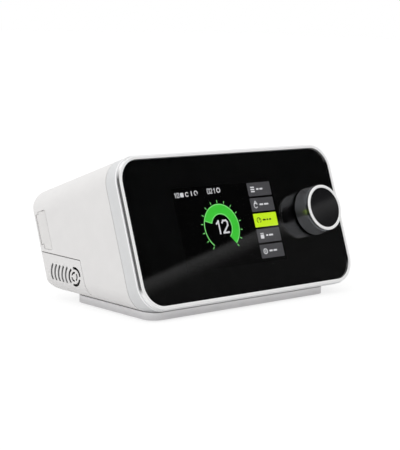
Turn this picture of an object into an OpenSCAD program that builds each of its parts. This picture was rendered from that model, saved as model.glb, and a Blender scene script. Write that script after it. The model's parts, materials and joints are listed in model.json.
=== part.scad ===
// Bilevel breathing-pressure machine: a leaning box with a black front window,
// a push-and-turn knob, a side filter cover and the blower that feeds the hose.
// World frame: X to the right, Y to the back, Z up, standing on Z = 0.
// Face frame (see on_face): x to the right, y up the leaning front, z out of it.

/* [Front panel] */
// Width of the front window
glass_w = 192; // [180:1:210]
// Height of the front window, measured up its slope
glass_h = 96; // [92:1:110]
// Corner radius of the front window
glass_r = 15; // [10:1:20]
// Thickness of the front window
glass_t = 1.8; // [1.2:0.1:3]
// Thickness of the black mask behind the window
mask_t = 0.4; // [0.2:0.1:0.8]
// Lean of the front from upright, in degrees
tilt = 20; // [15:1:22]
// Width of the bright trim ring round the window
ring_w = 2.3; // [1.6:0.1:3]
// Height of the trim ring's crown over the window
ring_proud = 0.7; // [0.3:0.1:1.2]
// Margin from the window to the outside of the body
rim = 3; // [2.6:0.1:5]

/* [Housing] */
// Depth from the window to the back, square to the window
body_d = 97; // [92:1:115]
// Depth of the front frame, from the window to the seam
frame_d = 13; // [11:0.5:16]
// Wall of the housing and the front frame
wall = 2.4; // [1.8:0.1:3]
// Radius of the lower long edges
low_r = 12; // [8:1:14]
// Radius of the upright and top edges at the back
edge_r = 3; // [1:0.5:5]
// Visible gap between neighbouring shells
seam = 0.4; // [0.2:0.1:0.8]
// Height of the window's lower edge over the table
face_z = 10.3; // [9.5:0.1:14]
// Height of the housing's underside over the table
floor_z = 5.7; // [4.5:0.1:6.5]

/* [Base] */
// Distance of the base plate from the body's right side
base_in_right = 27; // [20:1:50]
// Depth of the base plate
base_d = 80; // [70:1:84]
// Corner radius of the base plate
base_r = 9; // [6:1:16]
// Distance of the base plate from the body's left side
base_in_x = 8; // [6:1:14]
// Distance of the base plate's front from the window's lower edge
base_in_y = 2.5; // [1:0.5:8]
// Radius of a rubber foot
foot_r = 6; // [4:0.5:8]
// Height of a rubber foot below the base plate
foot_h = 0.8; // [0.5:0.1:2]

/* [Knob] */
// Knob axis, measured from the middle of the window
knob_x = 68.7; // [60:0.1:74]
// Knob axis, measured up the window from its lower edge
knob_u = 50; // [40:0.5:60]
// Radius of the knob at its front
knob_r = 16.2; // [12:0.1:18]
// Radius of the knob at its back
knob_back_r = 17.1; // [13:0.1:19]
// Distance of the knob's front from the window
knob_h = 14.3; // [11:0.1:18]
// Gap between the knob and the window at rest
knob_gap = 1.3; // [1:0.1:2]
// Width of the knob's bright front ring
knob_ring_w = 2.1; // [1:0.1:3]
// Radius of the encoder shaft
shaft_r = 3; // [2.5:0.1:3.5]

/* [Screen] */
// Width of the display's lit area
screen_w = 91.8; // [80:0.1:96]
// Height of the display's lit area
screen_h = 56; // [50:0.1:60]
// Middle of the display, measured from the middle of the window
screen_x = -10; // [-20:0.5:0]
// Middle of the display, measured up from the window's lower edge
screen_u = 47.2; // [42:0.1:52]
// Thickness of the display module
screen_t = 3.2; // [2:0.1:4]

/* [Filter cover] */
// How far the filter cover reaches in from the left side
bay_in = 19; // [16:1:22]
// Height of the filter cover's upper seam over the table
bay_top = 31.5; // [30:0.5:34]
// Depth of the filter cover's front seam behind the window
bay_front = 55; // [52:1:58]
// Number of curved slots behind the ring
slot_count = 5; // [3:1:6]
// Distance from one slot to the next
slot_pitch = 3.9; // [3.4:0.1:4.2]
// Width of a slot
slot_w = 1.8; // [1.2:0.1:2.2]
// Radius to which the slots are curved
slot_curve = 10; // [8:0.5:14]
// Outer radius of the ring grille
grille_r = 6.6; // [5:0.1:7]

/* [Card door] */
// Height of the card door's upper edge, measured up the front's slope
door_top = 83.2; // [80:0.1:86]
// Width of the card door, front to back
door_w = 11; // [9:0.5:12]
// Height of the card door's lower edge over the table
door_low_z = 34; // [33:0.5:36]
// Thickness of the card door
door_t = 1.4; // [1:0.1:1.8]

/* [Air path] */
// Outer radius of the air outlet, made for a 22 mm hose cuff
port_r = 11; // [10.5:0.1:11.5]
// Wall of the air outlet
port_wall = 1.7; // [1.4:0.1:2]
// Length of the air outlet outside the housing
port_len = 18; // [16:1:24]
// Radius of the blower wheel
wheel_r = 20.5; // [18:0.5:21.5]
// Number of blades on the blower wheel
blade_count = 11; // [7:1:15]
// Height of the air outlet's axis over the table
port_z = 39; // [37:0.5:40]
// Radius of the motor shaft
motor_shaft_r = 1.5; // [1.2:0.1:2]
// Wall of the blower and air box mouldings
duct_wall = 1.5; // [1.2:0.1:1.6]

/* [Hidden] */
$fn = 72;

// Fits and allowances
fit = 0.2;
run_fit = 0.05;
pin_fit = 0.1;
press_fit = 0.02;
eps = 0.01;
far = 200;

// Body outline in the face frame
body_w = glass_w + 2 * rim;
body_r = glass_r + rim;
top_u = glass_h + rim;
low_u = -rim;
half_w = body_w / 2;
side_in = half_w - wall;
plate_n = -(glass_t + mask_t);
plate_t = 2;
seam_d = 1;
plate_back = plate_n - plate_t;
shell_n = -(frame_d + seam);
back_in = -(body_d - wall);

// Overall reach, so that the origin lies under the middle of the box
knob_fillet = 0.8;
y_front = (knob_u - knob_r + knob_fillet) * sin(tilt)
        - (knob_h - knob_fillet) * cos(tilt) - knob_fillet;
y_back = (top_u - edge_r) * sin(tilt) + (body_d - edge_r) * cos(tilt) + edge_r;
home_y = -(y_front + y_back) / 2;
home_x = -port_len / 2;

// A point of the face frame's middle plane in world Y and Z, before home_y
function face_pt(u, n) = [u * sin(tilt) - n * cos(tilt),
                          face_z + u * cos(tilt) + n * sin(tilt)];
// Distance up the face at which the plane n meets the height z
function u_at(n, z) = (z - face_z - n * sin(tilt)) / cos(tilt);

// Carries what is drawn in the face frame to its place
module on_face() translate([home_x, home_y, face_z]) rotate([90 - tilt, 0, 0]) children();

// Carries what is drawn over the table to its place
module on_floor() translate([home_x, home_y, 0]) children();

// Turns a flat shape drawn in Y and Z into a solid from x0 to x1
module along_x(x0, x1) translate([x0, 0, 0]) rotate([90, 0, 90]) linear_extrude(x1 - x0)
    children();

function unit(v) = v / norm(v);
function xy(p) = [p[0], p[1]];
// Directions from corner i to its two neighbours
function back_dir(pts, i) = unit(xy(pts[(i + len(pts) - 1) % len(pts)]) - xy(pts[i]));
function next_dir(pts, i) = unit(xy(pts[(i + 1) % len(pts)]) - xy(pts[i]));
function half_angle(pts, i) = acos(back_dir(pts, i) * next_dir(pts, i)) / 2;
function tangent_len(pts, i) = pts[i][2] / tan(half_angle(pts, i));
function arc_centre(pts, i) = xy(pts[i]) + unit(back_dir(pts, i) + next_dir(pts, i))
                            * pts[i][2] / sin(half_angle(pts, i));

// Convex outline whose corners are true arcs, each corner given as [x, y, radius]
module arc_outline(pts) {
    polygon([for (i = [0:len(pts) - 1]) each pts[i][2] > 0
        ? [xy(pts[i]) + back_dir(pts, i) * tangent_len(pts, i),
           xy(pts[i]) + next_dir(pts, i) * tangent_len(pts, i)]
        : [xy(pts[i])]]);
    for (i = [0:len(pts) - 1])
        if (pts[i][2] > 0) translate(arc_centre(pts, i)) circle(pts[i][2]);
}

// Rectangle with rounded corners, from corner a to corner b
module round_rect(a, b, r) arc_outline([[a[0], a[1], r], [b[0], a[1], r],
                                        [b[0], b[1], r], [a[0], b[1], r]]);

// Window outline grown by g
module glass_2d(g) round_rect([-glass_w / 2 - g, -g],
                              [glass_w / 2 + g, glass_h + g], glass_r + g);

// Box between two corners
module block(a, b) translate(a) cube(b - a);

// Layer of the face frame between two heights over the window
module layer(n0, n1) translate([0, 0, n0]) linear_extrude(n1 - n0) children();

// Body volume, drawn in by inset: front outline, side profile, lower edges, back edges.
// The back edges' outline lies a skim outside the back plane, so that no two planes coincide.
skim = 0.002;
module body_form(inset) {
    w = half_w - inset;
    d = body_d - inset;
    z = floor_z + inset;
    e = max(edge_r - inset, 0.5);
    low = low_r - inset;
    r = body_r - inset;
    intersection() {
        on_face() layer(-body_d - 1, 10)
            round_rect([-w, low_u + inset], [w, top_u - inset], r);
        on_floor() along_x(-far, far) arc_outline([
            [-far / 4, z, 0],
            concat(face_pt(u_at(-d, z), -d), low),
            concat(face_pt(top_u - inset, -d), e),
            concat(face_pt(top_u - inset, far / 4), 0)]);
        on_floor() translate([0, far, 0]) rotate([90, 0, 0]) linear_extrude(2 * far)
            arc_outline([[-w, z, low], [w, z, low], [w, far, 0], [-w, far, 0]]);
        on_face() translate([0, far, 0]) rotate([90, 0, 0]) linear_extrude(2 * far)
            arc_outline([[-w, -d - skim, e], [w, -d - skim, e], [w, far, 0], [-w, far, 0]]);
    }
}

// Screw with a tapered head and a cross recess; its tip is at z = 0 and its head at z = len
head_taper = 0.8;
cross_len = 1.3;
cross_w = 0.3;
cross_depth = 0.6;
module screw(len, r, head_r, head_h) {
    cylinder(h = len, r = r);
    translate([0, 0, len]) difference() {
        cylinder(h = head_h, r1 = head_r, r2 = head_r * head_taper);
        for (arm = [[cross_len, cross_w], [cross_w, cross_len]])
            translate([0, 0, head_h])
                cube([head_r * arm[0], head_r * arm[1], head_h * 2 * cross_depth], true);
    }
}

// Corner of the body that the filter cover takes, grown inward by g
module bay(g) intersection() {
    on_floor() block([-far, -far, -far], [-half_w + bay_in + g, far, bay_top + g]);
    on_face() block([-far, -far, -far], [far, far, -bay_front + g]);
}

// Side view of the card door, grown by g; drawn in Y and Z
door_edge = 0.4;
door_n0 = -(body_d - edge_r - door_w - door_edge);
door_n1 = door_n0 - door_w;
door_corner = 1.2;
door_gap = 0.25;
module door_2d(g) {
    low_z = door_low_z - g;
    arc_outline([
        concat(face_pt(u_at(door_n0 + g, low_z), door_n0 + g), door_corner + g),
        concat(face_pt(u_at(door_n1 - g, low_z), door_n1 - g), door_corner + g),
        concat(face_pt(door_top + g, door_n1 - g), door_corner + g),
        concat(face_pt(door_top + g, door_n0 + g), door_corner + g)]);
}

// Card door hinge: the pin runs up the slope at the door's back edge
hinge_r = 0.6;
knuckle_r = 1.2;
knuckle_room = 0.3;
hinge_x = -half_w + knuckle_r + pin_fit;
hinge_n = door_n1 + knuckle_r;
hinge_u0 = u_at(hinge_n, door_low_z) + 2.5;
hinge_u1 = door_top - 1.5;
pocket_d = door_t + 2 * fit;
pad_in = 4.4;

// Memory card, stood on edge behind the door
card_margin = 1.96;
card_w = door_top - u_at(door_n0, door_low_z) - 2 * card_margin;
card_l = 32;
card_t = 2.1;
card_up = 0.8;
card_fore = 1.6;
card_u = (u_at(door_n0, door_low_z) + door_top) / 2 + card_up;
card_n = (door_n0 + door_n1) / 2 + card_fore;
card_x = -half_w + pocket_d - fit;
card_travel = 1;

// Flange and seal of the air outlet
neck_r = port_r + 0.5;
flange_r = port_r + 4;
stub_gap = 0.1;
flange_t = 2;
seal_t = 0.8;

// Blower
blower_x = -4;
blower_y = 74;
port_y = 46;
volute_step = 2.75;
volute_out = blower_y - port_y + 2 * volute_step;
volute_in = volute_out - 4 * volute_step;
scroll_h = 20;
scroll_z0 = port_z - scroll_h / 2;
scroll_z1 = port_z + scroll_h / 2;
exit_x = 24;
pocket_r = 21;
pocket_z = 14;
inlet_r = 8;
collar_h = 3.5;
stub_r = 8.8;
duct_r = stub_r + stub_gap + duct_wall;

// Walls that close the filter compartment
lining_t = 1.6;

// Air box
box_x0 = -half_w + bay_in + lining_t;
box_x1 = blower_x - 40;
box_y0 = 44;
box_y1 = 92;
box_z0 = floor_z + wall;
roof_gap = 1.5;
// Height of the sloping roof's inside at the depth y, with g to spare
function roof_z(y, g) = face_z + (top_u - wall - g) / cos(tilt) - y * tan(tilt);
elbow_wall = 1.4;
elbow_bend = inlet_r + duct_wall + pin_fit + elbow_wall + 0.4;
lid_z = scroll_z1 + collar_h + elbow_bend;
collar_len = 8;

// Filter pad and its holder
pad_y0 = 70;
pad_y1 = 95;
pad_z0 = floor_z + wall + 7.5;
pad_z1 = bay_top - 1;
pad_frame = 3;
filter_t = 6;
filter_x0 = -side_in + 1;

// Guide pins of the filter cover
cover_pin_r = 1.6;
cover_pins = [[63.5, 13], [101, 22]];

// Ring grille and slots in the side view
grille_y = 72;
grille_z = 19.6;

// Rear connector
jack_in = 27;
jack_x = half_w - jack_in;
jack_u = 44;

// Main shell, open to the front
module housing() color([0.93, 0.92, 0.91]) {
    difference() {
        intersection() {
            body_form(0);
            on_face() block([-far, -far, -far], [far, far, shell_n]);
        }
        difference() {
            body_form(wall);
            door_pad();
        }
        bay(0);
        // Card door recess, its hinge groove and the card slot
        difference() {
            on_floor() along_x(-half_w - 1, -half_w + pocket_d) door_2d(door_gap);
            on_face() hinge_lugs(knuckle_room, hinge_n + lug_n);
        }
        on_face() hinge_groove();
        on_face() block([-half_w - 1, card_u - card_w / 2 - fit, card_n - card_t / 2 - fit],
                        [-half_w + pad_in + 1, card_u + card_w / 2 + fit, card_n + card_t / 2 + fit]);
        // Hole for the air outlet
        on_floor() translate([half_w - wall - 1, port_y, port_z]) rotate([0, 90, 0])
            cylinder(h = wall + 2, r = neck_r + fit);
        // Hole for the power inlet
        on_face() translate([jack_x, jack_u, -body_d - 1]) cylinder(h = wall + 2, r = jack_r + fit);
        for (p = base_screw_at) on_floor() translate([p[0], p[1], floor_z - 1])
            cylinder(h = 3 * wall, r = screw_r + fit);
    }
    bay_lining();
    seam_land();
    intersection() {
        body_form(wall - eps);
        floor_posts();
    }
    power_posts();
}

// Ledge at the bottom of the groove, against which the front frame sits
module seam_land() difference() {
    intersection() {
        body_form(seam_d);
        on_face() block([-far, -far, shell_n - eps], [far, far, -frame_d]);
    }
    body_form(wall);
}

// Thick pad inside the left wall that carries the card door's recess
pad_margin = 1.8;
module door_pad() on_floor() along_x(-half_w, -half_w + pad_in) door_2d(pad_margin);

// Groove for the door's knuckle, with a hole for the pin beyond each end
module hinge_groove() {
    translate([hinge_x, hinge_u0 - knuckle_room, hinge_n]) rotate([-90, 0, 0])
        cylinder(h = hinge_u1 - hinge_u0 + 2 * knuckle_room, r = knuckle_r + knuckle_room);
    translate([hinge_x, hinge_u0 - pin_over, hinge_n]) rotate([-90, 0, 0])
        cylinder(h = hinge_u1 - hinge_u0 + 2 * pin_over, r = hinge_r + press_fit);
}
pin_over = 1.8;

// Places beyond the knuckle's ends, where the housing holds the pin; g is their gap to the knuckle.
// The door stays clear of their outer corner as it swings.
module hinge_lugs(g, n1) {
    block([-far, hinge_u1 + g, -far], [far, far, n1]);
    block([-far, -far, -far], [far, hinge_u0 - g, n1]);
}
lug_n = 1.4;
lug_reach = norm([knuckle_r + pin_fit, lug_n]);

// Walls that close the filter compartment from the inside
module bay_lining() difference() {
    intersection() {
        body_form(eps);
        difference() {
            bay(lining_t);
            bay(0);
        }
    }
    // Air passage to the air box
    on_floor() block([-half_w + bay_in - 1, pad_y0 + pad_frame, pad_z0 + pad_frame],
                     [-half_w + bay_in + lining_t + 1, pad_y1 - pad_frame, pad_z1 - pad_frame]);
    for (p = cover_pins) on_floor() translate([-half_w + bay_in - 1, p[0], p[1]])
        rotate([0, 90, 0]) cylinder(h = lining_t + 2, r = cover_pin_r + pin_fit);
}

// Base screws and blower posts stand on the housing floor
screw_r = 1.5;
base_screw_at = [[-66, 26], [-30, 26], [34, 26], [34, 66]];
mount_spread = 28;
mount_angles = [30, 150, 270];
post_r = 2.4;
post_h = 7;
base_post_r = 3.6;
base_post_h = 6;

module floor_posts() on_floor() {
    for (p = base_screw_at) translate([p[0], p[1], floor_z]) difference() {
        cylinder(h = wall + base_post_h, r = base_post_r);
        translate([0, 0, -1]) cylinder(h = wall + base_post_h + 2, r = screw_r);
    }
    for (a = mount_angles) translate([blower_x + mount_spread * cos(a),
                                      blower_y + mount_spread * sin(a), floor_z])
        cylinder(h = wall + post_h, r = post_r);
}

// Front frame: a tray whose front plate carries window, display and circuit board
module front_frame() color([0.8, 0.81, 0.82]) {
    difference() {
        intersection() {
            body_form(0);
            on_face() block([-far, -far, -frame_d], [far, far, plate_n]);
        }
        intersection() {
            body_form(wall);
            on_face() block([-far, -far, -far], [far, far, plate_back]);
        }
        on_face() {
            layer(plate_back - 1, 1) screen_2d(display_rim + fit);
            translate([knob_x, knob_u, plate_back - 1]) cylinder(h = plate_t + 3, r = bush_r + fit);
        }
    }
    on_face() for (p = board_screw_at) translate([p[0], p[1], board_n]) difference() {
        cylinder(h = plate_back - board_n + eps, r = board_post_r);
        translate([0, 0, -1]) cylinder(h = board_screw_h + tip_room + 1, r = board_screw_r + press_fit);
    }
    on_face() for (p = bracket_screw_at) translate([p[0], p[1], bracket_n]) difference() {
        cylinder(h = plate_back - bracket_n + eps, r = bracket_post_r);
        translate([0, 0, -1]) cylinder(h = bracket_screw_h + tip_room + 1, r = bracket_screw_r + press_fit);
    }
    // Lip that slides into the housing, carried by a thicker band of the frame
    frame_band(wall - eps, wall + fit + lip_t, -frame_d, -frame_d + lip_reach);
    frame_band(wall + fit, wall + fit + lip_t, -frame_d - lip_reach, -frame_d + lip_reach - 1);
}

// Band of the body's outline between two insets, from plane n0 to plane n1
module frame_band(outer, inner, n0, n1) difference() {
    intersection() {
        body_form(outer);
        on_face() block([-far, -far, n0], [far, far, n1]);
    }
    intersection() {
        body_form(inner);
        on_face() block([-far, -far, n0 - 5], [far, far, n1 + 5]);
    }
}

// Lit area of the display, grown by g
module screen_2d(g) translate([screen_x, screen_u]) square([screen_w + 2 * g, screen_h + 2 * g], true);

display_rim = 6;
display_n = plate_n - 0.3;
bracket_n = display_n - screen_t - 0.1;
bracket_t = 0.8;
board_t = 1.6;
board_n = -9.6;
board_in_x = 8;
board_w = glass_w - 2 * board_in_x;
board_u0 = 7;
board_u1 = glass_h - 6;
board_hole_in = 5;
bush_r = 3.5;
lip_t = 1.2;
lip_reach = 4;
board_post_r = 3;
bracket_post_r = 2.4;
tip_room = 0.2;
board_screw_r = 1.08;
board_screw_h = 4;
bracket_screw_r = 0.78;
bracket_screw_h = 1;
hole_x = board_w / 2 - board_hole_in;
hole_low = board_u0 + board_hole_in;
hole_top = board_u1 - board_hole_in + 0.5;
// The middle screw of the top row sits between the display's opening and the board's edge
hole_mid = (board_u1 + screen_u + screen_h / 2 + display_rim + fit) / 2;
board_screw_at = [[-hole_x, hole_low], [hole_x, hole_low], [-hole_x, hole_top], [hole_x, hole_top],
                  [56, hole_low - 1], [20, hole_mid]];
bracket_reach = 56;
bracket_rise = 20;
bracket_screw_at = [for (x = [-1, 1], u = [1, -1])
    [screen_x + x * bracket_reach, screen_u + u * bracket_rise]];

// Cross-section of the trim ring, measured outward from the window's edge
ring_crown = 2;
ring_gap = 0.1;
module ring_2d() intersection() {
    translate([ring_gap, plate_n]) square([ring_w - ring_gap, ring_proud - plate_n]);
    translate([(ring_w + ring_gap) / 2, ring_proud - ring_crown]) union() {
        circle(ring_crown);
        translate([-ring_w, -ring_w - 2]) square([2 * ring_w, ring_w + 2]);
    }
}

// Bright ring round the window: a crowned bead along four sides and round four corners
module trim_ring() color([0.92, 0.93, 0.94]) on_face() for (i = [0:3]) {
    run = (i % 2 == 0 ? glass_h : glass_w) - 2 * glass_r;
    across = i == 0 || i == 3 ? 1 : -1;
    up = i < 2 ? 1 : -1;
    translate([across * (glass_w / 2 - glass_r), glass_h / 2 + up * (glass_h / 2 - glass_r), 0])
        rotate(90 * i) {
            rotate_extrude(angle = 90) translate([glass_r, 0]) ring_2d();
            translate([glass_r, 0, 0]) rotate([90, 0, 0]) linear_extrude(run) ring_2d();
        }
}

module front_lens() color([0.05, 0.05, 0.06, 0.6]) on_face() difference() {
    layer(-glass_t, 0) glass_2d(0);
    translate([knob_x, knob_u, -glass_t - 1]) cylinder(h = glass_t + 2, r = bush_r + fit);
}

// Black printed sheet behind the window, open over the display
module lens_mask() color([0.02, 0.02, 0.02]) on_face() difference() {
    layer(-glass_t - mask_t, -glass_t) glass_2d(-0.2);
    layer(-glass_t - 1, 0) screen_2d(0);
    translate([knob_x, knob_u, -glass_t - 1]) cylinder(h = glass_t + 2, r = bush_r + fit);
}

notch_size = [2, 8];
module display_panel() color([0.03, 0.03, 0.04]) on_face() {
    layer(display_n - screen_t, display_n) difference() {
        screen_2d(display_rim);
        // Locating notch at each side
        for (x = [-1, 1]) translate([screen_x + x * (screen_w / 2 + display_rim), screen_u])
            square(notch_size, true);
    }
}

// Folded sheet-metal strap that holds the display to the frame's plate
strap_half = 4;
bracket_web = [60, 46];
bracket_window = [10, 24];
window_pitch = 18;
module display_bracket() color([0.75, 0.76, 0.78]) on_face() layer(bracket_n - bracket_t, bracket_n)
    difference() {
        union() {
            translate([screen_x, screen_u]) square(bracket_web, true);
            for (u = [-bracket_rise, bracket_rise])
                round_rect([screen_x - bracket_reach - strap_half, screen_u + u - strap_half],
                           [screen_x + bracket_reach + strap_half, screen_u + u + strap_half],
                           strap_half - 0.1);
        }
        for (p = bracket_screw_at) translate(p) circle(bracket_screw_r + 2 * fit);
        for (k = [-1:1]) translate([screen_x + k * window_pitch, screen_u]) square(bracket_window, true);
    }

// Flat cable that folds from the display's lower edge to the circuit board
flex_w = 22;
flex_t = 0.4;
flex_bend = (display_n - screen_t + flex_t + 0.3 - board_n) / 2;
flex_u = screen_u - screen_h / 2 - display_rim;
flex_tail = 12;
module display_flex() color([0.75, 0.5, 0.2]) on_face()
    translate([screen_x - flex_w / 2, flex_u, board_n]) rotate([90, 0, 90]) linear_extrude(flex_w) {
        intersection() {
            translate([0, flex_bend]) difference() {
                circle(flex_bend);
                circle(flex_bend - flex_t);
            }
            translate([-far, -1]) square([far, far]);
        }
        translate([-eps, 0]) square([flex_tail, flex_t]);
    }

// Circuit board with its larger soldered parts on the back, each as [x, u, width, height, thickness]
board_r = 3;
board_parts = [[-60, 60, 18, 18, 2], [-28, 62, 12, 12, 1.6], [8, 66, 26, 14, 3.4],
               [-45, 32, 10, 20, 3], [20, 40, 14, 14, 2.2], [58, 72, 24, 9, 4],
               [-8, 34, 10, 8, 2], [62, 22, 14, 8, 4.5], [40, 62, 9, 9, 2.6]];
module main_board() color([0.05, 0.35, 0.18]) on_face() {
    layer(board_n - board_t, board_n) difference() {
        round_rect([-board_w / 2, board_u0], [board_w / 2, board_u1], board_r);
        for (p = board_screw_at) translate(p) circle(board_screw_r + 2 * fit);
    }
    for (b = board_parts) translate([b[0], b[1], board_n - board_t - b[4] / 2])
        cube([b[2], b[3], b[4]], true);
    motor_socket();
}

// Socket on the board in which the motor cable ends
module motor_socket() translate([cable_x, socket_u, board_n - board_t - socket_h])
    difference() {
        translate([-socket_w / 2, -socket_w / 2, 0]) cube([socket_w, socket_w, socket_h]);
        rotate([tilt, 0, 0]) cylinder(h = 2 * socket_h, r = cable_r + fit, center = true);
    }

cell_at = [-22, 18];
cell_r = 8;
cell_h = 3.2;
module clock_battery() color([0.8, 0.8, 0.8]) on_face() translate([0, 0, board_n - board_t - cell_h])
    translate(cell_at) cylinder(h = cell_h, r = cell_r);

// Alarm speaker on the back of the circuit board
speaker_at = [-glass_w / 2 + 28, 26];
speaker_r = 13;
speaker_can_r = 10;
speaker_flange_t = 1.5;
speaker_h = 4.5;
speaker_rim = 2.5;
speaker_dish = 0.9;
module speaker() color([0.2, 0.2, 0.22]) on_face()
    translate([speaker_at[0], speaker_at[1], board_n - board_t]) rotate([180, 0, 0]) difference() {
        union() {
            cylinder(h = speaker_flange_t, r = speaker_r);
            cylinder(h = speaker_h, r = speaker_can_r);
        }
        translate([0, 0, speaker_h - speaker_dish]) cylinder(h = 2, r = speaker_can_r - speaker_rim);
    }

// Screws of the circuit board, the display's strap and the power board
board_head = [2.4, 1.5];
bracket_head = [1.8, 1];
module board_screws() color([0.7, 0.7, 0.72]) on_face() {
    for (p = board_screw_at) translate([p[0], p[1], board_n + board_screw_h]) rotate([180, 0, 0])
        screw(board_screw_h + board_t, board_screw_r, board_head[0], board_head[1]);
    for (p = bracket_screw_at) translate([p[0], p[1], bracket_n + bracket_screw_h])
        rotate([180, 0, 0])
            screw(bracket_screw_h + bracket_t, bracket_screw_r, bracket_head[0], bracket_head[1]);
    for (p = power_post_at) translate([p[0], p[1], power_n - board_screw_h])
        screw(board_screw_h + board_t, board_screw_r, board_head[0], board_head[1]);
}

// Rotary encoder soldered to the board; its bush comes up through the window
encoder_w = 13;
encoder_top = plate_back - fit;
bush_top = 0.9;
plunger_r = 1.6;
plunger_h = 2.2;
plunger_n1 = encoder_top - 1.2;
plunger_n0 = plunger_n1 - plunger_h;
module encoder_body() color([0.6, 0.6, 0.62]) on_face() translate([knob_x, knob_u, 0]) difference() {
    union() {
        translate([-encoder_w / 2, -encoder_w / 2, board_n])
            cube([encoder_w, encoder_w, encoder_top - board_n]);
        translate([0, 0, encoder_top - eps]) cylinder(h = bush_top - encoder_top + eps, r = bush_r);
    }
    translate([0, 0, plunger_n0 - press_travel - fit]) cylinder(h = 2 * plunger_h, r = plunger_r + fit);
    translate([0, 0, plunger_n1 - press_travel - fit]) cylinder(h = far, r = shaft_r + run_fit);
}

// Switch plunger under the shaft: it goes down with the knob and doesn't turn
press_travel = 0.7;
module switch_plunger() color([0.85, 0.3, 0.2]) on_face()
    translate([knob_x, knob_u, plunger_n0]) cylinder(h = plunger_n1 - plunger_n0, r = plunger_r);

// Shaft with a flat that keys the knob
shaft_top = knob_h - 3.2;
flat_depth = 0.9;
module encoder_shaft() color([0.75, 0.76, 0.78]) on_face() translate([knob_x, knob_u, plunger_n1 + eps])
    difference() {
        cylinder(h = shaft_top - plunger_n1 - eps, r = shaft_r);
        translate([shaft_r - flat_depth, -shaft_r, bush_top + 1 - plunger_n1])
            cube([shaft_r, 2 * shaft_r, shaft_top]);
    }

// Dark turned skirt of the knob, hollow at the back round its hub
knob_skirt_t = 2;
knob_web_t = 2.2;
hub_t = 2.4;
hub_in = 1;
ring_back = knob_h - 3;
cap_seat = knob_h - 2;
cap_r = knob_r - knob_ring_w - 0.1;
cap_in = 0.5;
module knob_body() color([0.25, 0.25, 0.27]) on_face() translate([knob_x, knob_u, 0]) difference() {
    union() {
        difference() {
            knob_turned(0, knob_gap, ring_back);
            translate([0, 0, knob_gap - 1])
                cylinder(h = ring_back - knob_web_t - knob_gap + 1, r = knob_r - knob_skirt_t);
        }
        translate([0, 0, knob_gap + hub_in])
            cylinder(h = ring_back - knob_gap - hub_in, r = shaft_r + hub_t);
        translate([0, 0, ring_back - eps]) cylinder(h = cap_seat - ring_back + eps, r = cap_r);
    }
    difference() {
        translate([0, 0, -1]) cylinder(h = shaft_top + 1 + fit, r = shaft_r + press_fit);
        translate([shaft_r - flat_depth + press_fit, -shaft_r - 1, bush_top + 1 + fit])
            cube([shaft_r, 2 * shaft_r + 2, shaft_top]);
    }
}

// Cone between the knob's back and front radius, drawn in by inset
module knob_turned(inset, n0, n1) {
    slope = (knob_back_r - knob_r) / (knob_h - knob_gap);
    translate([0, 0, n0]) cylinder(h = n1 - n0, r1 = knob_back_r - slope * (n0 - knob_gap) - inset,
                                   r2 = knob_back_r - slope * (n1 - knob_gap) - inset);
}

// Bright ring on the knob's front edge, with a rounded nose
module knob_ring() color([0.92, 0.93, 0.94]) on_face() translate([knob_x, knob_u, 0]) {
    inner = knob_r - knob_ring_w;
    rotate_extrude() difference() {
        union() {
            translate([inner, ring_back]) square([knob_ring_w, knob_h - knob_fillet - ring_back]);
            translate([inner + knob_fillet, ring_back])
                square([knob_ring_w - 2 * knob_fillet, knob_h - ring_back]);
            translate([inner + knob_fillet, knob_h - knob_fillet]) circle(knob_fillet);
            translate([knob_r - knob_fillet, knob_h - knob_fillet]) circle(knob_fillet);
        }
        translate([0, 0]) square([inner, knob_h + 1]);
    }
}

// Black disc set in the ring
module knob_cap() color([0.03, 0.03, 0.03]) on_face() translate([knob_x, knob_u, cap_seat])
    cylinder(h = knob_h - cap_seat - cap_in, r = cap_r);

// Base plate: flat foot under the housing, set in from all sides
base_x0 = -half_w + base_in_x;
base_x1 = half_w - base_in_right;
base_y0 = base_in_y;
base_y1 = base_y0 + base_d;
foot_in = 14;
foot_at = [[base_x0 + foot_in, base_y0 + foot_in], [base_x1 - foot_in, base_y0 + foot_in],
           [base_x0 + foot_in, base_y1 - foot_in], [base_x1 - foot_in, base_y1 - foot_in]];
foot_seat = 1.2;
recess_in = [28, 10];
recess_r = 6;
recess_depth = 1;
sink_r = 3.4;
sink_depth = 2.4;
module base_plate() color([0.72, 0.72, 0.73]) on_floor() difference() {
    translate([0, 0, foot_h]) linear_extrude(floor_z - foot_h)
        round_rect([base_x0, base_y0], [base_x1, base_y1], base_r);
    // Shallow panel on the underside
    translate([0, 0, foot_h - 1]) linear_extrude(recess_depth + 1)
        round_rect([base_x0, base_y0] + recess_in, [base_x1, base_y1] - recess_in, recess_r);
    for (p = foot_at) translate([p[0], p[1], foot_h - 1]) cylinder(h = foot_seat + 1, r = foot_r + pin_fit);
    for (p = base_screw_at) translate([p[0], p[1], foot_h - 1]) {
        cylinder(h = far, r = screw_r + fit);
        cylinder(h = sink_depth + 1, r = sink_r);
    }
}

module rubber_feet() color([0.12, 0.12, 0.12]) on_floor() for (p = foot_at)
    translate([p[0], p[1], 0]) cylinder(h = foot_h + foot_seat, r = foot_r);

base_screw_in = 7;
base_head = [2.9, 1.7];
module base_screws() color([0.6, 0.6, 0.62]) on_floor() for (p = base_screw_at)
    translate([p[0], p[1], floor_z + base_screw_in]) rotate([180, 0, 0])
        screw(floor_z + base_screw_in - foot_h - sink_depth, screw_r - press_fit,
              base_head[0], base_head[1]);

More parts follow.
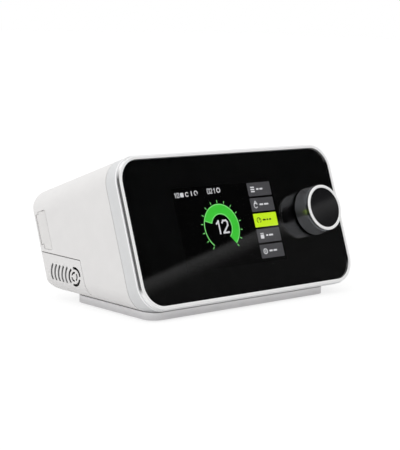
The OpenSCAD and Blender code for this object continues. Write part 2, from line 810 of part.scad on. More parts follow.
// Curved slot of the side grille, drawn in Y and Z with its middle at y; its ends are a little wider
slot_half = 28;
slot_end = 0.04;
module slot_2d(y) translate([y - slot_curve, grille_z]) {
    intersection() {
        difference() {
            circle(slot_curve + slot_w / 2);
            circle(slot_curve - slot_w / 2);
        }
        polygon([[0, 0], 2 * slot_curve * [cos(slot_half), -sin(slot_half)],
                 2 * slot_curve * [cos(slot_half), sin(slot_half)]]);
    }
    for (a = [-slot_half, slot_half]) translate(slot_curve * [cos(a), sin(a)])
        circle(slot_w / 2 + slot_end);
}

// Arc-shaped opening of the ring grille, from angle a0 to a1
module arc_slot_2d(r_out, r_in, a0, a1) intersection() {
    difference() {
        circle(r_out);
        circle(r_in);
    }
    mid = (a0 + a1) / 2;
    polygon([[0, 0], 2 * r_out * [cos(a0), sin(a0)], 3 * r_out * [cos(mid), sin(mid)],
             2 * r_out * [cos(a1), sin(a1)]]);
}

// Louvre of the filter cover: ring grille and the slots behind it
grille_slot = 1.7;
grille_inner = 3.4;
inner_slot = 1.3;
outer_arcs = [[-52, 52], [72, 172], [190, 288]];
inner_arcs = [[10, 100], [130, 230], [260, 350]];
module louvre_2d() {
    for (i = [1:slot_count]) slot_2d(grille_y + grille_r + i * slot_pitch - slot_w / 2);
    translate([grille_y, grille_z]) {
        for (a = outer_arcs) arc_slot_2d(grille_r, grille_r - grille_slot, a[0], a[1]);
        for (a = inner_arcs) arc_slot_2d(grille_inner, grille_inner - inner_slot, a[0], a[1]);
    }
}

// Corner cover with the side grille; it pulls straight off to the left
cover_lift = 0.2;
pin_short = 0.3;
module filter_cover() color([0.93, 0.92, 0.91]) {
    difference() {
        intersection() {
            body_form(0);
            bay(-seam);
            on_floor() block([-far, -far, floor_z + cover_lift], [far, far, far]);
        }
        body_form(wall);
        on_floor() along_x(-half_w - 1, -side_in + 1) louvre_2d();
    }
    for (p = cover_pins) on_floor() translate([-side_in - eps, p[0], p[1]]) rotate([0, 90, 0])
        cylinder(h = bay_in + lining_t - wall - pin_short, r = cover_pin_r);
}

module air_filter() color([0.85, 0.86, 0.88]) on_floor()
    block([filter_x0, pad_y0, pad_z0], [filter_x0 + filter_t, pad_y1, pad_z1]);

// Funnel that holds the filter pad in front of the air passage
holder_wall = 1.4;
holder_top = 0.7;
module filter_holder() color([0.6, 0.61, 0.63]) on_floor() difference() {
    block([filter_x0 + 1, pad_y0 - holder_wall, pad_z0 - holder_wall],
          [-half_w + bay_in, pad_y1 + holder_wall, pad_z1 + holder_top]);
    block([filter_x0, pad_y0 - fit / 2, pad_z0],
          [filter_x0 + filter_t, pad_y1 + fit / 2, pad_z1 + fit / 2]);
    block([filter_x0, pad_y0 + pad_frame, pad_z0 + pad_frame], [0, pad_y1 - pad_frame, pad_z1 - pad_frame]);
}

// Side view of the air box, which follows the roof, drawn in by g
module box_2d(g) polygon([
    [box_y0 + g, box_z0 + g],
    [box_y1 - g, box_z0 + g],
    [box_y1 - g, roof_z(box_y1 - g, roof_gap + g)],
    [box_y0 + g, roof_z(box_y0 + g, roof_gap + g)]]);

// Air box that quiets the inlet, open to the right
module air_box() color([0.82, 0.82, 0.84]) on_floor() difference() {
    along_x(box_x0, box_x1) box_2d(0);
    along_x(box_x0 + duct_wall, box_x1 + 1) box_2d(duct_wall);
    block([box_x0 - 1, pad_y0 + pad_frame, pad_z0 + pad_frame],
          [box_x0 + duct_wall + 1, pad_y1 - pad_frame, pad_z1 - pad_frame]);
}

// Lid of the air box with the collar for the inlet elbow; its hollow plug fits in the box
plug_d = 2;
plug_rim = 2;
module air_box_lid() color([0.82, 0.82, 0.84]) on_floor() difference() {
    union() {
        along_x(box_x1, box_x1 + duct_wall) box_2d(0);
        along_x(box_x1 - plug_d, box_x1 + eps) box_2d(duct_wall + fit);
        translate([box_x1, blower_y, lid_z]) rotate([0, 90, 0])
            cylinder(h = collar_len, r = inlet_r + duct_wall);
    }
    along_x(box_x1 - plug_d - 1, box_x1 - eps) box_2d(duct_wall + plug_rim);
    translate([box_x1 - plug_d - 1, blower_y, lid_z]) rotate([0, 90, 0])
        cylinder(h = collar_len + plug_d + 4, r = inlet_r);
}

// Foam block in the air box, pierced so that it swallows sound
foam_over = 4;
foam_gap = 0.5;
foam_hole_r = 2;
foam_hole_in = 12;
foam_hole_pitch = 8;
module muffler_foam() color([0.3, 0.3, 0.32]) on_floor() difference() {
    intersection() {
        along_x(box_x0 + duct_wall, box_x1 - plug_d - foam_gap) box_2d(duct_wall);
        block([-far, box_y0, pad_z1 + foam_over], [far, blower_y - inlet_r - foam_over, far]);
    }
    for (k = [1:4]) translate([0, box_y0 + foam_hole_in, pad_z1 + foam_over + k * foam_hole_pitch])
        rotate([0, 90, 0]) cylinder(h = far, r = foam_hole_r, center = true);
}

// Bent duct from the air box down to the blower's inlet
module inlet_elbow() color([0.55, 0.56, 0.58]) on_floor() {
    x_in = box_x1 + duct_wall;
    x_bend = blower_x - elbow_bend;
    translate([x_in, blower_y, lid_z]) rotate([0, 90, 0]) linear_extrude(x_bend - x_in) elbow_2d();
    translate([x_bend, blower_y, lid_z - elbow_bend]) rotate([90, 0, 0])
        rotate_extrude(angle = 90) translate([elbow_bend, 0]) elbow_2d();
    translate([blower_x, blower_y, scroll_z1]) linear_extrude(collar_h) elbow_2d();
}

module elbow_2d() difference() {
    circle(inlet_r + duct_wall + pin_fit + elbow_wall);
    circle(inlet_r + duct_wall + pin_fit);
}

// Volute outline made of four quarter circles, grown by g
module volute_2d(g) {
    s = volute_step;
    r1 = volute_in + s / 2;
    centres = [[s, s] / 2, [-s, s] / 2, [-s, -s] / 2, [s, -s] / 2];
    for (k = [0:3]) translate(centres[k]) rotate(90 * k - 90) intersection() {
        circle(r1 + k * s + g);
        translate([-2 * s, -2 * s]) square(far);
    }
    translate([0, -volute_out - g]) square([exit_x - blower_x, 4 * s + 2 * g]);
}

// Screw bosses that join the scroll's halves stand where each quarter's middle is
boss_r = 3;
boss_h = 6;
boss_top = 4;
boss_in = 0.5;
module at_bosses() for (k = [1:3]) rotate(90 * k - 45)
    translate([volute_in + (k + 0.5) * volute_step + duct_wall + boss_r - boss_in, 0, port_z]) children();

// Plate that squares off the scroll's exit and carries the round spigot
exit_t = 2;
exit_rim = 1;
spigot_len = 8;
module exit_plate(z0, z1) translate([exit_x - blower_x - exit_t, port_y - blower_y - stub_r - exit_rim, z0])
    cube([exit_t, 2 * (stub_r + exit_rim), z1 - z0]);

// Upper half of the blower scroll, with the inlet collar
module blower_top() color([0.9, 0.9, 0.92]) on_floor() translate([blower_x, blower_y, 0]) difference() {
    union() {
        translate([0, 0, port_z]) linear_extrude(scroll_z1 - port_z) volute_2d(duct_wall);
        translate([0, 0, scroll_z1 - eps]) cylinder(h = collar_h, r = inlet_r + duct_wall);
        at_bosses() cylinder(h = boss_top, r = boss_r);
        exit_plate(port_z, scroll_z1);
        exit_spigot(1);
    }
    translate([0, 0, port_z - 1]) linear_extrude(scroll_z1 - duct_wall - port_z + 1) volute_2d(0);
    translate([0, 0, port_z]) cylinder(h = far, r = inlet_r);
    at_bosses() cylinder(h = far, r = blower_screw_r + press_fit, center = true);
    exit_bore();
}

// Half of the round spigot at the scroll's exit: side 1 is the upper half, -1 the lower
module exit_spigot(side) intersection() {
    translate([exit_x - blower_x - eps, port_y - blower_y, port_z]) rotate([0, 90, 0])
        cylinder(h = spigot_len, r = stub_r);
    translate([0, -far, side > 0 ? port_z : port_z - far]) cube([far, 2 * far, far]);
}

module exit_bore() translate([exit_x - blower_x - exit_t - eps, port_y - blower_y, port_z])
    rotate([0, 90, 0]) cylinder(h = far, r = stub_r - duct_wall);

// Lower half of the blower scroll, with the motor pocket and three feet
foot_half = 5;
foot_t = 2;
foot_x0 = pocket_r + duct_wall / 2;
grommet_neck = 3.4;
bottom_hole_r = 4;
module blower_bottom() color([0.9, 0.9, 0.92]) on_floor() translate([blower_x, blower_y, 0]) difference() {
    union() {
        translate([0, 0, scroll_z0]) linear_extrude(port_z - scroll_z0) volute_2d(duct_wall);
        translate([0, 0, pocket_z]) cylinder(h = scroll_z0 - pocket_z + 1, r = pocket_r + duct_wall);
        for (a = mount_angles) rotate(a) translate([0, 0, pocket_z]) linear_extrude(foot_t) difference() {
            union() {
                translate([foot_x0, -foot_half]) square([mount_spread - foot_x0, 2 * foot_half]);
                translate([mount_spread, 0]) circle(foot_half);
            }
            translate([mount_spread, 0]) circle(grommet_neck + pin_fit);
        }
        translate([0, 0, -boss_h]) at_bosses() cylinder(h = boss_h, r = boss_r);
        exit_plate(scroll_z0, port_z);
        exit_spigot(-1);
    }
    translate([0, 0, scroll_z0 + duct_wall]) linear_extrude(scroll_h) volute_2d(0);
    translate([0, 0, pocket_z - 1]) cylinder(h = scroll_z0 - pocket_z - duct_wall + 1, r = pocket_r);
    translate([0, 0, pocket_z]) cylinder(h = far, r = bottom_hole_r);
    at_bosses() cylinder(h = 2 * boss_h - 1, r = blower_screw_r + press_fit, center = true);
    exit_bore();
}

blower_screw_r = 1.2;
blower_screw_in = 4.5;
blower_head = [2, 1.4];
module blower_screws() color([0.6, 0.6, 0.62]) on_floor() translate([blower_x, blower_y, 0])
    at_bosses() translate([0, 0, -blower_screw_in])
        screw(blower_screw_in + boss_top, blower_screw_r, blower_head[0], blower_head[1]);

// Soft grommets between the blower's feet and the posts
grommet_r = 4.6;
grommet_cap = 1.5;
module blower_mounts() color([0.7, 0.25, 0.2]) on_floor() for (a = mount_angles)
    translate([blower_x + mount_spread * cos(a), blower_y + mount_spread * sin(a), 0]) difference() {
        union() {
            translate([0, 0, floor_z + wall]) cylinder(h = pocket_z - floor_z - wall, r = grommet_r);
            translate([0, 0, pocket_z - eps]) cylinder(h = foot_t + 2 * eps, r = grommet_neck);
            translate([0, 0, pocket_z + foot_t]) cylinder(h = grommet_cap, r = grommet_r);
        }
        translate([0, 0, floor_z]) cylinder(h = far, r = post_r + press_fit);
    }

// Blower wheel: disc, hub and backward-curved blades
wheel_z0 = scroll_z0 + duct_wall + 1.5;
wheel_z1 = scroll_z1 - duct_wall - 2;
disc_t = 1.2;
shroud_t = 0.8;
hub_h = 9;
hub_r = [6.5, 4];
eye_gap = 1;
blade_t = 0.9;
blade_curve = 17;
blade_in_r = 8.5;
blade_edge = 0.2;
module impeller() color([0.95, 0.95, 0.96]) on_floor() translate([blower_x, blower_y, 0]) {
    difference() {
        union() {
            translate([0, 0, wheel_z0]) cylinder(h = disc_t, r = wheel_r);
            translate([0, 0, wheel_z0]) cylinder(h = hub_h, r1 = hub_r[0], r2 = hub_r[1]);
        }
        translate([0, 0, wheel_z0 - 1]) cylinder(h = far, r = motor_shaft_r + press_fit);
    }
    translate([0, 0, wheel_z1 - shroud_t]) difference() {
        cylinder(h = shroud_t, r = wheel_r);
        translate([0, 0, -1]) cylinder(h = shroud_t + 2, r = inlet_r + eye_gap);
    }
    blade_h = wheel_z1 - wheel_z0 - disc_t - shroud_t / 2;
    translate([0, 0, wheel_z0 + disc_t - eps]) linear_extrude(blade_h) intersection() {
        for (i = [0:blade_count - 1]) rotate(i * 360 / blade_count) translate([0, -blade_curve])
            difference() {
                circle(blade_curve);
                circle(blade_curve - blade_t);
                translate([-far, -far]) square([far, 2 * far]);
            }
        difference() {
            circle(wheel_r - blade_edge);
            circle(blade_in_r);
        }
    }
}

// Motor winding body under the scroll's floor, with a seat for a bearing at each end
stator_z0 = pocket_z + duct_wall;
stator_z1 = scroll_z0 - duct_wall;
bearing_r = 5;
bearing_h = 2.6;
magnet_r = 9.2;
air_gap = 0.6;
end_gap = 0.4;
module motor_stator() color([0.7, 0.45, 0.25]) on_floor() translate([blower_x, blower_y, 0])
    difference() {
        translate([0, 0, stator_z0]) cylinder(h = stator_z1 - stator_z0, r = pocket_r - pin_fit);
        translate([0, 0, stator_z0 - 1]) cylinder(h = bearing_h + 1, r = bearing_r + press_fit);
        translate([0, 0, stator_z1 - bearing_h]) cylinder(h = bearing_h + 1, r = bearing_r + press_fit);
        translate([0, 0, stator_z0]) cylinder(h = far, r = bearing_r - 1);
        translate([0, 0, stator_z0 + bearing_h + end_gap])
            cylinder(h = stator_z1 - stator_z0 - 2 * (bearing_h + end_gap), r = magnet_r + air_gap);
    }

module motor_bearings() color([0.75, 0.76, 0.78]) on_floor() translate([blower_x, blower_y, 0])
    for (z = [stator_z0, stator_z1 - bearing_h]) translate([0, 0, z]) difference() {
        cylinder(h = bearing_h, r = bearing_r);
        translate([0, 0, -1]) cylinder(h = bearing_h + 2, r = motor_shaft_r + run_fit);
    }

module rotor_magnet() color([0.35, 0.35, 0.38]) on_floor()
    translate([blower_x, blower_y, stator_z0 + bearing_h + 2 * end_gap]) difference() {
        cylinder(h = stator_z1 - stator_z0 - 2 * bearing_h - 4 * end_gap, r = magnet_r);
        translate([0, 0, -1]) cylinder(h = far, r = motor_shaft_r + press_fit);
    }

shaft_over = 0.5;
module motor_shaft() color([0.8, 0.8, 0.82]) on_floor()
    translate([blower_x, blower_y, stator_z0 - shaft_over])
        cylinder(h = wheel_z0 + hub_h + shaft_over - stator_z0, r = motor_shaft_r);

// Cable from the motor to the circuit board, bent once
cable_r = 1.6;
cable_z = 20;
cable_x = 40;
cable_bend = 8;
socket_h = 5;
socket_w = 10;
cable_in = 2;
socket_u = u_at(board_n - board_t - socket_h, cable_z);
socket_y = face_pt(socket_u, board_n - board_t - socket_h)[0];
module motor_cable() color([0.1, 0.1, 0.1]) on_floor() {
    translate([blower_x + pocket_r + duct_wall, blower_y, cable_z]) rotate([0, 90, 0])
        cylinder(h = cable_x - cable_bend - blower_x - pocket_r - duct_wall, r = cable_r);
    translate([cable_x - cable_bend, blower_y - cable_bend, cable_z])
        rotate_extrude(angle = 90) translate([cable_bend, 0]) circle(cable_r);
    translate([cable_x, blower_y - cable_bend, cable_z]) rotate([90, 0, 0])
        cylinder(h = blower_y - cable_bend - socket_y + cable_in, r = cable_r);
}

// Straight lead from the power board to the circuit board
lead_at = [jack_x + 14, jack_u + 17];
module power_cable() color([0.1, 0.1, 0.1]) on_face()
    translate([lead_at[0], lead_at[1], power_n + board_t])
        cylinder(h = board_n - power_n - 2 * board_t, r = cable_r);

// Soft duct from the scroll's spigot to the outlet
duct_x0 = exit_x;
duct_x1 = side_in - seal_t - flange_t;
nipple_r = 1.3;
nipple_bore = 0.6;
nipple_h = 2.5;
module outlet_duct() color([0.5, 0.5, 0.52]) on_floor() translate([0, port_y, port_z]) {
    difference() {
        union() {
            translate([duct_x0, 0, 0]) rotate([0, 90, 0]) cylinder(h = duct_x1 - duct_x0, r = duct_r);
            for (x = sensor_ports) translate([x, 0, duct_r - 0.5])
                cylinder(h = nipple_h + 0.5, r = nipple_r);
        }
        translate([duct_x0 - 1, 0, 0]) rotate([0, 90, 0]) cylinder(h = far, r = stub_r + stub_gap);
        for (x = sensor_ports) translate([x, 0, stub_r - 1]) cylinder(h = duct_r, r = nipple_bore);
    }
}
sensor_x = side_in - 38.6;
sensor_ports = [sensor_x - 4, sensor_x + 4];

// Flow sensor that stands on the duct's two nipples
sensor_case = [20, 14, 5];
sensor_cap = [12, 8, 2];
module flow_sensor() color([0.12, 0.12, 0.13]) on_floor()
    translate([sensor_x, port_y, port_z + duct_r + nipple_h]) {
        translate([-sensor_case[0] / 2, -sensor_case[1] / 2, 0]) cube(sensor_case);
        translate([-sensor_cap[0] / 2, -sensor_cap[1] / 2, sensor_case[2] - eps]) cube(sensor_cap);
    }

// Air outlet: inner stub, flange against the wall, and the spigot for the hose
stub_len = 9.2;
stub_t = 1;
module outlet_port() color([0.88, 0.88, 0.89]) on_floor() translate([0, port_y, port_z])
    rotate([0, 90, 0]) difference() {
        union() {
            translate([0, 0, duct_x1 - stub_len]) cylinder(h = stub_len + 1, r = stub_r);
            translate([0, 0, duct_x1]) cylinder(h = flange_t, r = flange_r);
            translate([0, 0, side_in - seal_t - eps]) cylinder(h = wall + seal_t + eps, r = neck_r);
            translate([0, 0, side_in]) cylinder(h = wall + port_len, r = port_r);
        }
        translate([0, 0, duct_x1 - stub_len - 1]) cylinder(h = far, r = stub_r - stub_t);
        translate([0, 0, side_in - 1]) cylinder(h = far, r = port_r - port_wall);
    }

module outlet_seal() color([0.15, 0.15, 0.15]) on_floor() translate([side_in - seal_t, port_y, port_z])
    rotate([0, 90, 0]) difference() {
        cylinder(h = seal_t, r = flange_r - 0.5);
        translate([0, 0, -1]) cylinder(h = seal_t + 2, r = neck_r + pin_fit);
    }

// Power board behind the rear connector, on posts of the housing's back
power_n = back_in + 14;
power_board_w = 42;
power_board_h = 36;
power_min = [jack_x - 24, jack_u - 8];
power_max = power_min + [power_board_w, power_board_h];
power_r = 2;
power_edge = 4;
power_post_at = [power_min + [power_edge, power_edge],
                 [power_min[0] + power_edge, power_max[1] - power_edge],
                 power_max - [power_edge, power_edge]];
module power_posts() on_face() for (p = power_post_at) translate([p[0], p[1], back_in - eps])
    difference() {
        cylinder(h = power_n - back_in + eps, r = board_post_r);
        translate([0, 0, power_n - back_in - board_screw_h - tip_room])
            cylinder(h = far, r = board_screw_r + press_fit);
    }

// Power board: capacitors, each as [x, u, radius, height] from the board's corner, and a coil
capacitors = [[12, 20, 7, 9], [30, 24, 5, 12]];
coil_at = power_min + [20, 4];
coil_size = [16, 8, 5];
module power_board() color([0.05, 0.35, 0.18]) on_face() {
    layer(power_n, power_n + board_t) difference() {
        round_rect(power_min, power_max, power_r);
        for (p = power_post_at) translate(p) circle(board_screw_r + 2 * fit);
    }
    for (c = capacitors) translate([power_min[0] + c[0], power_min[1] + c[1], power_n + board_t])
        cylinder(h = c[3], r = c[2]);
    translate([coil_at[0], coil_at[1], power_n + board_t]) cube(coil_size);
}

// Round power inlet with its centre pin
jack_r = 4.6;
jack_bore = 3.2;
jack_pin = 1.25;
jack_pin_in = 1;
jack_deep = 9.5;
jack_case = [14, 11];
module dc_jack() color([0.1, 0.1, 0.1]) on_face() translate([jack_x, jack_u, 0]) {
    difference() {
        union() {
            translate([0, 0, -body_d]) cylinder(h = wall + 2, r = jack_r);
            translate([-jack_case[0] / 2, -jack_case[1] / 2, back_in + fit])
                cube([jack_case[0], jack_case[1], power_n - back_in - fit]);
        }
        translate([0, 0, -body_d - 1]) cylinder(h = jack_deep + 1, r = jack_bore);
    }
    translate([0, 0, -body_d + jack_pin_in]) cylinder(h = jack_deep, r = jack_pin);
}

// Side door over the memory card, hinged at its back edge
notch_r = 4;
notch_depth = 0.9;
notch_in = 2.8;
module card_door() color([0.9, 0.89, 0.88]) difference() {
    union() {
        intersection() {
            on_floor() along_x(-half_w, -half_w + door_t) door_2d(0);
            on_face() difference() {
                block([-far, -far, hinge_n], [far, far, 0]);
                hinge_lugs(0, hinge_n + lug_reach + door_gap);
            }
        }
        on_face() translate([hinge_x, hinge_u0, hinge_n]) rotate([-90, 0, 0])
            cylinder(h = hinge_u1 - hinge_u0, r = knuckle_r);
    }
    on_face() translate([hinge_x, hinge_u0 - 1, hinge_n]) rotate([-90, 0, 0])
        cylinder(h = hinge_u1 - hinge_u0 + 2, r = hinge_r + run_fit);
    // Finger notch at the upper front corner
    on_face() translate([-half_w - notch_r + notch_depth, door_top, door_n0 - notch_in]) sphere(notch_r);
}

module door_pin() color([0.75, 0.76, 0.78]) on_face()
    translate([hinge_x, hinge_u0 - pin_over, hinge_n]) rotate([-90, 0, 0])
        cylinder(h = hinge_u1 - hinge_u0 + 2 * pin_over, r = hinge_r);

// Card reader behind the left wall
reader_x0 = -half_w + pad_in;
reader_x1 = card_x + card_l + 3;
reader_wall = 1.4;
module card_reader() color([0.7, 0.71, 0.73]) on_face() difference() {
    block([reader_x0, card_u - card_w / 2 - reader_wall, card_n - card_t / 2 - reader_wall],
          [reader_x1, card_u + card_w / 2 + reader_wall, card_n + card_t / 2 + reader_wall]);
    block([reader_x0 - 1, card_u - card_w / 2 - fit, card_n - card_t / 2 - fit],
          [card_x + card_l + card_travel + 2 * fit, card_u + card_w / 2 + fit, card_n + card_t / 2 + fit]);
}

module memory_card() color([0.1, 0.15, 0.3]) on_face()
    translate([card_x, card_u, card_n + card_t / 2]) rotate([0, 90, 0])
        linear_extrude(card_l) translate([0, -card_w / 2]) square([card_t, card_w]);

housing();
front_frame();
trim_ring();
front_lens();
lens_mask();
display_panel();
display_bracket();
display_flex();
main_board();
clock_battery();
speaker();
board_screws();
encoder_body();
switch_plunger();
encoder_shaft();
knob_body();
knob_ring();
knob_cap();
base_plate();
rubber_feet();
base_screws();
filter_cover();
air_filter();
filter_holder();
air_box();
air_box_lid();
muffler_foam();
inlet_elbow();
blower_top();
blower_bottom();
blower_screws();
blower_mounts();
impeller();
motor_stator();
rotor_magnet();
motor_shaft();
motor_bearings();
motor_cable();
power_cable();
outlet_duct();
outlet_seal();
outlet_port();
flow_sensor();
power_board();
dc_jack();
card_door();
door_pin();
card_reader();
memory_card();
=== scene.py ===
# Looks of the bilevel breathing-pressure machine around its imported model: camera, finishes, the
# print behind the window, the display's lit picture, floor and light
import json
import math
import bmesh
import bpy
from mathutils import Matrix, Vector


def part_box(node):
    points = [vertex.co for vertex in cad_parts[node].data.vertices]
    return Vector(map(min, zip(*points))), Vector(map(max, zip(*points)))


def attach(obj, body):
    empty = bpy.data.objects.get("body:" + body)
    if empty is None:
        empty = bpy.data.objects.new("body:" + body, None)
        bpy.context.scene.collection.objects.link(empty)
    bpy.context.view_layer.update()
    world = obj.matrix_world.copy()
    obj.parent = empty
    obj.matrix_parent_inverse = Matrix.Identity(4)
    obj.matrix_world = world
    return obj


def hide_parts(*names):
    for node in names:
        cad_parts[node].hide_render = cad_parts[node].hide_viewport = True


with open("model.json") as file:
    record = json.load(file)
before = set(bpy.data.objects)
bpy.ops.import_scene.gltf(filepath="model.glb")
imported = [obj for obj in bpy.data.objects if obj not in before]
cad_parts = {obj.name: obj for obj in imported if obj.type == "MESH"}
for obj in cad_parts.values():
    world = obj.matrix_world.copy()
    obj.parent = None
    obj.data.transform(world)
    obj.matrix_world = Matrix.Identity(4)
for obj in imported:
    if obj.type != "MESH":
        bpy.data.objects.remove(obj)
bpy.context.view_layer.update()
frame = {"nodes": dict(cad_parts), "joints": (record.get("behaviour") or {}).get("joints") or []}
NODES = frame["nodes"]
MM = 0.001
ORIGIN = Vector((0, 0, 0))
UP, BACK, LEFT = Vector((0, 0, 1)), Vector((0, 1, 0)), Vector((-1, 0, 0))

# Face frame of the leaning front: x right, u up the window, n out of it. It starts at the middle
# of the window's lower front edge. The window's box holds a part of its height and of its
# thickness in each direction, because it leans
knob_turn = next(j for j in frame["joints"] if j["name"] == "knob_turn")
N_DIR = Vector(knob_turn["axis"]).normalized()
X_DIR = Vector((1, 0, 0))
U_DIR = N_DIR.cross(X_DIR)
lens_lo, lens_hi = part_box("front_lens")
sin_t, cos_t = N_DIR.z, -N_DIR.y
dy, dz = lens_hi.y - lens_lo.y, lens_hi.z - lens_lo.z
cos_2t = cos_t * cos_t - sin_t * sin_t
GLASS_H = (dz * cos_t - dy * sin_t) / cos_2t
GLASS_T = (dy * cos_t - dz * sin_t) / cos_2t
GLASS_W = lens_hi.x - lens_lo.x
HOME = Vector(((lens_lo.x + lens_hi.x) / 2, lens_lo.y, lens_hi.z - GLASS_H * cos_t))


def face(x, u, n):
    """Place in space of a point of the face frame, which is given in millimetres."""
    return HOME + (X_DIR * x + U_DIR * u + N_DIR * n) * MM


# Camera, from the photograph's perspective
CAM_AZ, CAM_EL, CAM_ROLL = math.radians(42.81), math.radians(8.63), math.radians(-1.613)
CAM_PLACE = (-0.6745, -0.7215, 0.1966)
CAM_LENS, CAM_SENSOR = 127.75, 36
CAM_NEAR, CAM_FAR = 0.05, 50
look = Vector((math.sin(CAM_AZ) * math.cos(CAM_EL), math.cos(CAM_AZ) * math.cos(CAM_EL),
               -math.sin(CAM_EL)))
level = Vector((math.cos(CAM_AZ), -math.sin(CAM_AZ), 0))
plumb = look.cross(level)
right = level * math.cos(CAM_ROLL) + plumb * math.sin(CAM_ROLL)
down = plumb * math.cos(CAM_ROLL) - level * math.sin(CAM_ROLL)
cam_data = bpy.data.cameras.new("photo_camera")
cam_data.sensor_fit = "HORIZONTAL"
cam_data.sensor_width = CAM_SENSOR
cam_data.lens = CAM_LENS
cam_data.clip_start = CAM_NEAR
cam_data.clip_end = CAM_FAR
cam = bpy.data.objects.new("photo_camera", cam_data)
bpy.context.scene.collection.objects.link(cam)
cam_axes = Matrix((right, -down, -look)).transposed().to_4x4()
cam.matrix_world = Matrix.Translation(CAM_PLACE) @ cam_axes
bpy.context.scene.camera = cam


class Nodes:
    """Adds nodes to one node tree. A value for a socket is a number, a vector, a colour or
    another node's output."""

    def __init__(self, tree):
        tree.nodes.clear()
        self.tree = tree

    def add(self, kind, **values):
        """New node. in_X gives the input X its value, any other key is a property of the node."""
        node = self.tree.nodes.new(kind)
        for key, value in values.items():
            if key.startswith("in_"):
                self.feed(node.inputs[key[3:].replace("_", " ")], value)
            else:
                setattr(node, key, value)
        return node

    def link(self, a, b):
        self.tree.links.new(a, b)

    def feed(self, socket, value):
        if isinstance(value, bpy.types.NodeSocket):
            self.link(value, socket)
        else:
            socket.default_value = value

    def feed_all(self, node, values):
        for socket, value in zip(node.inputs, values):
            self.feed(socket, value)

    def object_coords(self):
        return self.add("ShaderNodeTexCoord").outputs["Object"]

    def maths(self, operation, *values):
        node = self.add("ShaderNodeMath", operation=operation)
        self.feed_all(node, values)
        return node.outputs[0]

    def vector_maths(self, operation, *values):
        node = self.add("ShaderNodeVectorMath", operation=operation)
        self.feed_all(node, values)
        return node.outputs["Value" if operation in ("DOT_PRODUCT", "LENGTH") else "Vector"]

    def along(self, coords, origin, axis):
        """Distance of a shading point from an origin along an axis, in metres."""
        return self.vector_maths("DOT_PRODUCT", self.vector_maths("SUBTRACT", coords, origin), axis)

    def noise(self, coords, scale, detail, rough=0.5):
        return self.add("ShaderNodeTexNoise", in_Vector=coords, in_Scale=scale, in_Detail=detail,
                        in_Roughness=rough).outputs[0]

    def mapped(self, value, lo, hi, to_lo, to_hi, way="LINEAR"):
        return self.add("ShaderNodeMapRange", interpolation_type=way, in_Value=value,
                        in_From_Min=lo, in_From_Max=hi, in_To_Min=to_lo,
                        in_To_Max=to_hi).outputs["Result"]

    def mixed(self, kind, factor, a, b):
        """Mix of two colours (kind RGBA) or of two numbers (kind FLOAT)."""
        return self.add("ShaderNodeMix", data_type=kind, in_Factor=factor, in_A=a,
                        in_B=b).outputs["Result"]

    def ramp(self, value, stops):
        """Colours that follow a value: each stop is (value, colour)."""
        node = self.add("ShaderNodeValToRGB", in_Fac=value)
        elements = node.color_ramp.elements
        while len(elements) < len(stops):
            elements.new(0.5)
        for element, (place, colour) in zip(elements, stops):
            element.position = place
            element.color = (*colour, 1)
        return node.outputs["Color"]

    def relief(self, height, strength, distance, bsdf):
        node = self.add("ShaderNodeBump", in_Height=height, in_Strength=strength,
                        in_Distance=distance)
        self.link(node.outputs["Normal"], bsdf.inputs["Normal"])


def new_material(name):
    mat = bpy.data.materials.new(name)
    mat.use_nodes = True
    kit = Nodes(mat.node_tree)
    out = kit.add("ShaderNodeOutputMaterial")
    bsdf = kit.add("ShaderNodeBsdfPrincipled")
    kit.link(bsdf.outputs[0], out.inputs["Surface"])
    return mat, kit, bsdf


def shade(colour, k):
    return tuple(min(1.0, c * k) for c in colour)


# Zones of a surface that have another colour, most of them painted shade or painted light
FAR = 1.0  # further than the object reaches
SHARP = 0.1 * MM


def zone(limits):
    """Region of an object, as a function that gives a value of 1 inside and 0 outside. It is what
    the limits have in common, each (origin, axis, low, high, fade) in metres."""
    def build(kit, coords):
        inside = None
        for origin, axis, low, high, fade in limits:
            d = kit.along(coords, origin, axis)
            part = kit.maths("MULTIPLY", kit.mapped(d, low - fade, low, 0.0, 1.0),
                             kit.mapped(d, high, high + fade, 1.0, 0.0))
            inside = part if inside is None else kit.maths("MULTIPLY", inside, part)
        return inside
    return build


# Painted shade on the louvre's walls, under the cover's face: the face is flat and turns under
# along a round lower edge of radius LOW_R
cover_lo, cover_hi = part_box("filter_cover")
LOW_R = 12 * MM
LOW_EDGE = Vector((cover_lo.x + LOW_R, 0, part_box("base_plate")[1].z + LOW_R))
LOUVRE_LOW, LOUVRE_HIGH = 12 * MM, 28.5 * MM
RING_FROM, RING_TO = 3.4 * MM, 17.6 * MM
SLOTS_FROM, SLOTS_TO = 17.7 * MM, 38.6 * MM
LOUVRE_HEIGHT = (ORIGIN, UP, LOUVRE_LOW, LOUVRE_HIGH, SHARP)
RING_PART = [(ORIGIN, BACK, RING_FROM, RING_TO, SHARP), LOUVRE_HEIGHT]
SLOT_PART = [(ORIGIN, BACK, SLOTS_FROM, SLOTS_TO, SHARP), LOUVRE_HEIGHT]
WALL_FROM, WALL_TO = 0.25 * MM, 0.45 * MM


def painted_louvre_shade(part):
    """Painted shade on the walls of one part of the louvre, from just under the cover's face
    inwards.
    """
    def build(kit, coords):
        inwards = kit.vector_maths("SUBTRACT", LOW_EDGE, coords)
        across = kit.vector_maths("MULTIPLY", inwards, (1, 0, 1))
        outside = kit.vector_maths("MAXIMUM", across, (0, 0, 0))
        reach = kit.vector_maths("LENGTH", outside)
        deep = kit.mapped(reach, LOW_R - WALL_TO, LOW_R - WALL_FROM, 1.0, 0.0)
        return kit.maths("MULTIPLY", deep, zone(part)(kit, coords))
    return build
